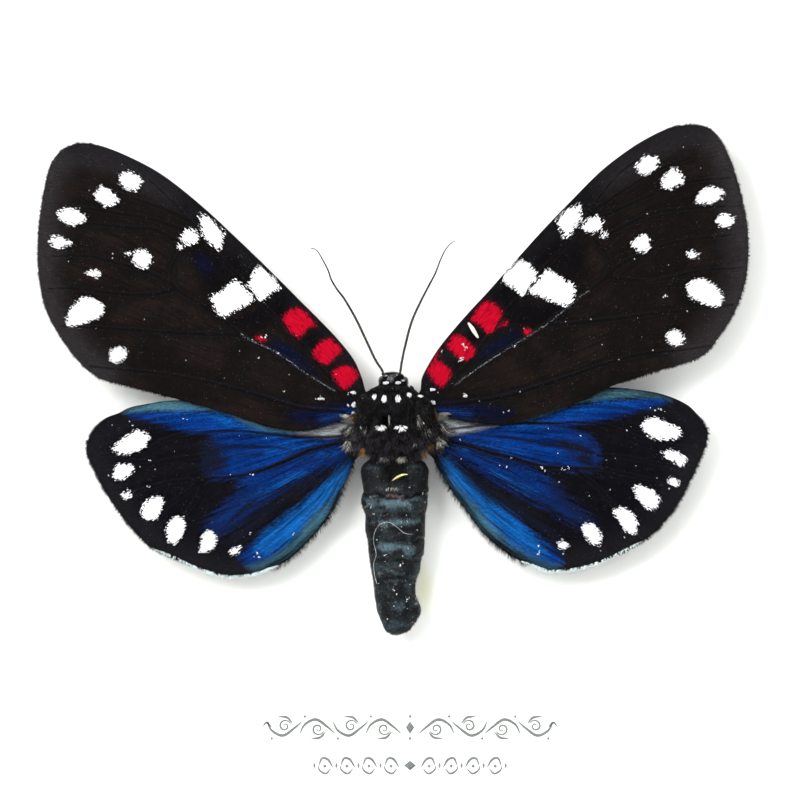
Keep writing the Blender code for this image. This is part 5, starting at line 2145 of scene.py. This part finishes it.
    def build_feelers(self, horn: Material) -> None:
        """Model both feelers: ringed threads that taper to a curled tip.

        Args:
            horn: Their finish.
        """
        routes = {
            "left": "383.3,375,4.2 382,370,4.4 375.5,360,4.4 366,340,4.3 356.5,320,4.2 345,300,4.1 "
            "337.5,290,4.1 331.5,280,4.1 328,270,4 320,255,4 316,250,4 310.5,248.3,4",
            "right": "399.6,375,4.2 400.8,369,4.4 401.5,363.7,4.4 404.6,348.4,4.3 411.5,322.4,4.2 "
            "421.5,300,4.1 432,280,4.1 436,271.8,4 440.6,259.6,4 445.2,250.4,4 450.5,244,4 "
            "455.4,241.2,4"}
        for side, route in routes.items():
            line = smooth_path(route, 150)
            placed = at_pixel(line[:, :2], line[:, 2] * MM)

            def thickness(share: float) -> float:
                """Return the radius: a stout first joint, then rings that shrink."""
                scape = 0.035 * math.exp(-(share / 0.014) ** 2)
                ring = 0.012 * math.sin(share * 150 * math.pi / 2)
                swell = 0.045 * math.sin(math.pi * min(1.0, share * 0.9 + 0.12))
                return 0.045 + 0.035 * (1 - share) + swell + scape + ring * (1 - share)

            mesh = self.tube(f"antenna_{side}_thread", placed, thickness, 8)
            link_piece(mesh.name, mesh, horn, [f"antenna_{side}"])

    def build_legs(self, horn: Material) -> None:
        """Model the six folded legs with a swelling at each joint.

        Args:
            horn: Their finish.
        """
        pairs = {"leg_front": "1.3,4.2 1.7,4.7 1.52,5.45 0.9,5.75",
                 "leg_middle": "1.5,2.8 2.6,2.5 2.6,1.2 1.8,0",
                 "leg_hind": "1.5,1.2 1.9,-0.6 1.5,-2.8 0.9,-4.6"}
        for pair, joints in pairs.items():
            for side, out in (("left", -1), ("right", 1)):
                route = np.array([(0.04 * MM + out * x * MM, BOARD_Y - 0.5 * MM, MIDDLE_Z + z * MM)
                                  for x, z in read_trace(joints)])
                mesh = self.tube(f"{pair}_{side}_horn", smooth_path(route, 48),
                                 lambda t: 0.10 + 0.06 * (1 - t) - 0.03 * math.sin(3 * math.pi * t) ** 2, 8)
                link_piece(mesh.name, mesh, horn, [f"{pair}_{side}"])

    def build_glue(self, glue: Material) -> None:
        """Model the dab of glue under the belly.

        Args:
            glue: Its finish.
        """
        low, high = (Vector(corner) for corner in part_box("glue_dab"))
        bm = bmesh.new()
        bmesh.ops.create_uvsphere(bm, u_segments=32, v_segments=16, radius=1.0)
        for vert in bm.verts:
            swell = 1 + 0.07 * math.sin(3 * math.atan2(vert.co.z, vert.co.x))
            vert.co = Vector((vert.co.x * swell, vert.co.y, vert.co.z * swell))
        bmesh.ops.scale(bm, vec=(high - low) * 0.52, verts=bm.verts)
        bmesh.ops.translate(bm, vec=(low + high) / 2, verts=bm.verts)
        link_piece("glue_blob", mesh_of("glue_blob", bm), glue, ["glue_dab"])


@dataclass
class ShadowBox:
    """Rails, glass, spacers, board, back panel and hanger."""

    rail_face: float = 14 * MM
    lip_depth: float = 4 * MM
    lip_overlap: float = 4 * MM
    edge_round: float = 0.8 * MM
    joint_gap: float = 0.03 * MM

    def build(self, finishes: dict[str, Material]) -> None:
        """Model the rails and dress what the frame holds.

        Args:
            finishes: Every finish by its name.
        """
        for turn, side in enumerate(("top", "right", "bottom", "left")):
            self.build_rail(side, math.radians(90 * turn), finishes["black"])
        dress = {"glass_pane": "glass", "mount_board": "board", "back_panel": "hardboard"}
        dress.update({f"spacer_{side}": "foam" for side in ("top", "right", "bottom", "left")})
        dress.update({name: "brass" for name in ("hanger_plate", "hanger_nail_left", "hanger_nail_right")})
        for name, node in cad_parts.items():
            finish = "steel" if name.startswith("spring_tab") else dress.get(name)
            if finish:
                node.data.materials.clear()
                node.data.materials.append(finishes[finish])
        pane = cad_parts["glass_pane"]
        pane.visible_shadow = False
        pane.visible_diffuse = False

    def build_rail(self, side: str, angle: float, black: Material) -> None:
        """Model one mitred rail.

        Args:
            side: Which side of the frame it is on.
            angle: Its turn round the frame's middle from the top.
            black: Its finish.
        """
        low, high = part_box("frame_rail_top")
        outer = high[2] - MIDDLE_Z
        front, back = low[1], high[1]
        sight = outer - self.rail_face
        rebate = sight + self.lip_overlap
        section = [(sight, front), (outer, front), (outer, back), (rebate, back),
                   (rebate, front + self.lip_depth), (sight, front + self.lip_depth)]
        bm = bmesh.new()
        end = bm.faces.new([bm.verts.new((-outer * 1.2, y, z)) for z, y in section])
        grown = bmesh.ops.extrude_face_region(bm, geom=[end])["geom"]
        moved = [part for part in grown if isinstance(part, bmesh.types.BMVert)]
        bmesh.ops.translate(bm, vec=(outer * 2.4, 0, 0), verts=moved)
        long_edges = [edge for edge in bm.edges if edge.calc_length() > outer]
        for size, chosen in ((self.edge_round, [edge for edge in long_edges
                                                if edge.verts[0].co.y < front + 1e-6]),
                             (0.25 * MM, [edge for edge in long_edges
                                          if edge.verts[0].co.y > back - 1e-6])):
            bmesh.ops.bevel(bm, geom=chosen, offset=size, segments=4, profile=0.5, material=-1,
                            affect="EDGES")
        for out in (-1, 1):
            across = Vector((out, 0, -1)).normalized()
            cut = bmesh.ops.bisect_plane(bm, geom=[*bm.verts, *bm.edges, *bm.faces],
                                         plane_co=-across * self.joint_gap / 2, plane_no=across,
                                         clear_outer=True)["geom_cut"]
            bmesh.ops.edgeloop_fill(bm, edges=[part for part in cut
                                               if isinstance(part, bmesh.types.BMEdge)])
        turn = Matrix.Translation((0, 0, MIDDLE_Z)) @ Matrix.Rotation(angle, 4, "Y")
        bmesh.ops.transform(bm, matrix=turn, verts=bm.verts)
        mesh = mesh_of(f"rail_{side}_painted", bm)
        rail = link_piece(mesh.name, mesh, black, [f"frame_rail_{side}"])
        rail.data.set_sharp_from_angle(angle=math.radians(35))


@dataclass
class Flourish:
    """Printed scroll ornament of two lines under the moth, in grey ink."""

    middle_x: float = 410.0
    long_line: float = 727.0
    short_line: float = 765.0
    ink_lift: float = 0.006 * MM
    strokes: list[tuple[Array, Array]] = field(default_factory=list)

    def pen(self, points: Path, thick: float, thin: float = 0.35, steps: int = 26) -> None:
        """Draw a stroke that swells in its middle.

        Args:
            points: Points that it passes through.
            thick: Half its width in the middle, in pixels.
            thin: Half its width at the ends.
            steps: How finely it is drawn.
        """
        line = smooth_path(points, steps)
        share = np.linspace(0, 1, steps + 1)
        self.strokes.append((line, thin + (thick - thin) * np.sin(math.pi * share) ** 0.8))

    def curl(self, x: float, y: float, size: float, out: int, up: int) -> None:
        """Draw a spiral that opens outwards and ends in a thick stroke.

        Args:
            x: Its middle across, in pixels.
            y: Its middle down, in pixels.
            size: Its radius in pixels.
            out: 1 or -1, the side it opens to.
            up: 1 or -1, the way it winds.
        """
        turns = np.linspace(0, 1.45 * math.tau, 30)
        radius = size * (0.16 + 0.84 * (turns / turns[-1]))
        self.pen(list(zip(x + out * radius * np.cos(turns), y + up * radius * np.sin(turns))), 0.95, 0.45, 40)

    def lozenge(self, x: float, y: float, wide: float, tall: float) -> None:
        """Draw a small diamond."""
        line = np.array([(x - wide, y), (x, y), (x + wide, y)])
        self.strokes.append((line, np.array([0.05, tall, 0.05])))

    def draw(self) -> None:
        """Draw both lines from their middle outwards."""
        x, y = self.middle_x, self.long_line
        self.lozenge(x, y, 4.2, 6.4)
        self.lozenge(x, y - 11, 1.7, 2.0)
        self.lozenge(x, y + 11, 1.7, 2.0)
        for out in (-1, 1):
            for number in range(4):
                start = x + out * (9 + 33 * number)
                up = -1 if number % 2 else 1
                self.pen([(start, y + 6 * up), (start + out * 8, y - 1 * up), (start + out * 19, y - 8 * up),
                          (start + out * 30, y - 3 * up), (start + out * 35, y + 6 * up)], 1.5, 0.45)
                self.curl(start + out * 17, y + 1.5 * up, 6.2, out, up)
                self.pen([(start + out * 9, y + 4 * up), (start + out * 15, y + 10 * up),
                          (start + out * 24, y + 11 * up)], 1.25, 0.2)
                self.lozenge(start + out * 30, y - 11 * up, 1.5, 1.8)
            self.pen([(x + out * 138, y), (x + out * 143, y - 5), (x + out * 147, y - 1)], 1.1, 0.2)
        y = self.short_line
        self.lozenge(x, y, 6.0, 5.0)
        for out in (-1, 1):
            for number in range(4):
                start = x + out * (11 + 22 * number)
                self.pen([(start, y + 2), (start + out * 5, y - 6), (start + out * 11, y - 7),
                          (start + out * 14, y)], 1.3, 0.35)
                self.pen([(start + out * 2, y + 3), (start + out * 7, y + 8), (start + out * 13, y + 5),
                          (start + out * 15, y)], 1.1, 0.35)
                self.lozenge(start + out * 8, y + 0.5, 2.0, 2.0)
                self.lozenge(start + out * 18.5, y, 1.3, 3.2)

    def build(self, ink: Material) -> None:
        """Turn the strokes into one flat print.

        Args:
            ink: Its finish.
        """
        self.draw()
        points, faces = [], []
        for line, half in self.strokes:
            bm = bmesh.new()
            bmesh.ops.create_grid(bm, x_segments=len(line) - 1, y_segments=1, size=0.5)
            ordered = sorted(bm.verts, key=lambda vert: (round(vert.co.x, 6), vert.co.y))
            along = unit(np.gradient(line, axis=0))
            side = np.stack([-along[:, 1], along[:, 0]], axis=1)
            for number, vert in enumerate(ordered):
                place, sign = number // 2, number % 2 * 2 - 1
                spot = line[place] + side[place] * half[place] * sign
                vert.co = Vector(at_pixel(self.as_seen(spot), self.ink_lift)[0])
            bm.verts.index_update()
            base = len(points)
            points += [tuple(vert.co) for vert in bm.verts]
            faces += [[base + vert.index for vert in face.verts] for face in bm.faces]
            bm.free()
        mesh = bpy.data.meshes.new("printed_flourish")
        mesh.from_pydata(points, [], faces)
        bm = bmesh.new()
        bm.from_mesh(mesh)
        for face in bm.faces:
            face.normal_update()
            if face.normal.y > 0:
                face.normal_flip()
        bmesh.ops.solidify(bm, geom=list(bm.faces), thickness=0.004 * MM)
        bm.to_mesh(mesh)
        bm.free()
        link_piece("printed_flourish", mesh, ink)

    @staticmethod
    def as_seen(pixel: Array) -> Array:
        """Move a pixel from the wings' plane to the board's, which the camera sees smaller."""
        middle = np.array([VIEW_PX / 2, VIEW_PX / 2])
        return middle + (pixel - middle) * Studio.board_scale()


@dataclass
class Studio:
    """Floor, soft lights, surroundings and the head-on camera."""

    distance: float = 0.42
    wing_lift: float = 3.5 * MM

    @classmethod
    def board_scale(cls) -> float:
        """Return how much larger a thing on the board is drawn so that it looks true."""
        return (cls.distance + cls.wing_lift) / cls.distance

    def add_light(self, name: str, place: Triple, size: float, power: float,
                  colour: Triple, glossy: bool) -> None:
        """Hang a square soft light that faces the specimen.

        Args:
            name: The light's name.
            place: Where it hangs, from the specimen's middle.
            size: Its side.
            power: Its power.
            colour: Its colour.
            glossy: Whether it shows in the glass.
        """
        data = bpy.data.lights.new(name, "AREA")
        data.shape = "SQUARE"
        data.size = size
        data.energy = power
        data.color = colour
        lamp = bpy.data.objects.new(name, data)
        bpy.context.scene.collection.objects.link(lamp)
        target = Vector((0, BOARD_Y, MIDDLE_Z))
        lamp.location = target + Vector(place)
        lamp.rotation_euler = (-Vector(place)).to_track_quat("-Z", "Y").to_euler()
        lamp.visible_glossy = glossy

    def build(self) -> None:
        """Set up the studio."""
        scene = bpy.context.scene
        scene.view_settings.view_transform = "Standard"
        bm = bmesh.new()
        bmesh.ops.create_grid(bm, x_segments=1, y_segments=1, size=3.0)
        floor = bpy.data.objects.new("studio_floor", mesh_of("studio_floor", bm, outward=False))
        scene.collection.objects.link(floor)
        sheet = Sheet("studio_floor")
        floor.data.materials.append(sheet.done(Base_Color=(0.80, 0.80, 0.79), Roughness=0.9))
        floor.visible_glossy = False
        floor.visible_transmission = False
        self.add_light("key", (-0.19, -0.35, 0.16), 0.16, 1.30, (1.0, 0.99, 0.97), True)
        self.add_light("fill_right", (0.26, -0.36, 0.12), 0.24, 0.48, (0.98, 0.99, 1.0), False)
        self.add_light("fill_left", (-0.27, -0.36, 0.02), 0.24, 0.62, (0.98, 0.99, 1.0), False)
        self.add_light("fill_top", (0.04, -0.34, 0.30), 0.26, 0.80, (1.0, 1.0, 1.0), False)
        self.add_light("fill_low", (0.0, -0.38, -0.22), 0.24, 0.40, (1.0, 1.0, 1.0), False)
        self.add_light("back_wash", (0.3, 0.6, 0.5), 0.5, 2.0, (1.0, 1.0, 1.0), True)
        self.set_surroundings(scene)
        self.set_camera(scene)

    @staticmethod
    def set_surroundings(scene: bpy.types.Scene) -> None:
        """Make pale surroundings that leave no veil in the glass.

        Args:
            scene: The scene.
        """
        world = bpy.data.worlds.new("studio")
        world.use_nodes = True
        scene.world = world
        tree = world.node_tree
        ray = tree.nodes.new("ShaderNodeLightPath")
        seen = tree.nodes.new("ShaderNodeMath")
        seen.operation = "MULTIPLY_ADD"
        seen.inputs[1].default_value = 0.80
        seen.inputs[2].default_value = 0.012
        soft = tree.nodes.new("ShaderNodeMath")
        soft.operation = "MULTIPLY_ADD"
        soft.inputs[1].default_value = 0.52
        tree.links.new(ray.outputs["Is Camera Ray"], seen.inputs[0])
        tree.links.new(ray.outputs["Is Diffuse Ray"], soft.inputs[0])
        tree.links.new(seen.outputs[0], soft.inputs[2])
        tree.links.new(soft.outputs[0], tree.nodes["Background"].inputs["Strength"])
        tree.nodes["Background"].inputs["Color"].default_value = (0.97, 0.98, 1.0, 1.0)

    def set_camera(self, scene: bpy.types.Scene) -> None:
        """Look straight at the specimen, so that the photographed field fills the picture.

        Args:
            scene: The scene.
        """
        data = bpy.data.cameras.new("head_on")
        data.sensor_width = 36.0
        data.lens = data.sensor_width * self.distance / (VIEW_PX * PX)
        data.clip_start = 0.01
        data.clip_end = 20.0
        camera = bpy.data.objects.new("head_on", data)
        middle = at_pixel(np.array([[VIEW_PX / 2, VIEW_PX / 2]]), self.wing_lift)[0]
        camera.location = Vector(middle) + Vector((0, -self.distance, 0))
        camera.rotation_euler = (math.radians(90), 0, 0)
        scene.collection.objects.link(camera)
        scene.camera = camera


def make_finishes() -> dict[str, Material]:
    """Make every finish once.

    Returns:
        Each material by its finish's name.
    """
    made = {
        "black": PaintedWood(), "glass": ClearGlass(), "hardboard": PressedFibre(),
        "foam": PaperFace("white_foam_paper", (0.88, 0.88, 0.86)),
        "board": PaperFace("white_board_paper", (0.955, 0.955, 0.935), (424.5, 588)),
        "steel": BrushedMetal("tab_steel", (0.56, 0.57, 0.59), (0.36, 0.36, 0.37)),
        "brass": BrushedMetal("brassed_steel", (0.72, 0.53, 0.23), (0.48, 0.33, 0.14)),
        "forewing": WingScales("forewing_scales"),
        # the fourth colour is the painted bluish sheen along the front edge
        "hindwing": WingScales("hindwing_scales", (0.0026, 0.0024, 0.0040), (0.0046, 0.0040, 0.0050),
                               (0.0075, 0.0070, 0.0086), (0.0044, 0.0045, 0.0062),
                               (0.0010, 0.0250, 0.1600), (0.0040, 0.0900, 0.3300)),
        "skin": Fur("body_skin", (0.002, 0.002, 0.003), (0.007, 0.006, 0.007), 0.8, 0.05),
        "fur": Fur("black_fur", (0.002, 0.002, 0.002), (0.015, 0.0135, 0.013), 0.6, 0.08),
        "grey_fur": Fur("grey_fur", (0.006, 0.005, 0.007), (0.085, 0.075, 0.092)),
        "olive_fur": Fur("olive_fur", (0.012, 0.011, 0.008), (0.110, 0.100, 0.085)),
        # near-black painted shade for the inside of the pin's old hole
        "hollow": Fur("pin_hole_painted_shade", (0.0004, 0.0004, 0.0004), (0.0008, 0.0007, 0.0007), 0.9, 0.0),
        "grey": Fur("pale_grey_hair", (0.10, 0.10, 0.11), (0.25, 0.24, 0.25)),
        "white": Fur("white_scales", (0.80, 0.80, 0.83), (0.93, 0.93, 0.93)),
        "pale": Fur("pale_hair", (0.22, 0.21, 0.19), (0.72, 0.69, 0.60)),
        "amber": Fur("amber_hair", (0.060, 0.030, 0.014), (0.28, 0.15, 0.05)),
        "gold": Fur("golden_shred", (0.60, 0.46, 0.12), (0.93, 0.84, 0.50), 0.35, 0.5),
        "cream": Fur("cream_flake", (0.72, 0.58, 0.48), (0.92, 0.82, 0.72)),
        "lint": Fur("white_lint", (0.40, 0.41, 0.43), (0.62, 0.63, 0.65)),
        "fringe": Fur("dark_fringe", (0.004, 0.004, 0.004), (0.018, 0.019, 0.014)),
        "white_fringe": Fur("white_fringe", (0.58, 0.72, 0.73), (0.88, 0.93, 0.93)),
        "horn": Fur("dark_horn", (0.010, 0.010, 0.008), (0.028, 0.028, 0.022), 0.45, 0.3),
        "abdomen": AbdomenSkin(),
        "abdomen_hair": Fur("abdomen_hair", (0.010, 0.010, 0.010), (0.045, 0.048, 0.046)),
        "eye": EyeFacets(), "glue": SetGlue(), "ink": PrintInk(),
    }
    return {name: finish.make() for name, finish in made.items()}


def main() -> None:
    """Build the framed moth piece by piece and set up the studio."""
    logging.basicConfig(level=logging.INFO, format="%(name)s %(message)s")
    random = np.random.default_rng(7)
    finishes = make_finishes()
    ShadowBox().build(finishes)
    for plan, steps in ((HINDWING_LEFT, 160), (HINDWING_RIGHT, 160),
                        (FOREWING_LEFT, 200), (FOREWING_RIGHT, 200)):
        wing = Wing(plan, steps=steps)
        wing.build(finishes[plan.node.split("_")[0]])
        wing.scatter_scales(finishes["white"], random)
        wing.comb_hairs(finishes["fringe"], random)
        wing.grow_fringes(finishes["fringe"], finishes["white_fringe"], random)
    Body(random).build(finishes)
    Flourish().build(finishes["ink"])
    Studio().build()


if __name__ == "__main__":
    main()
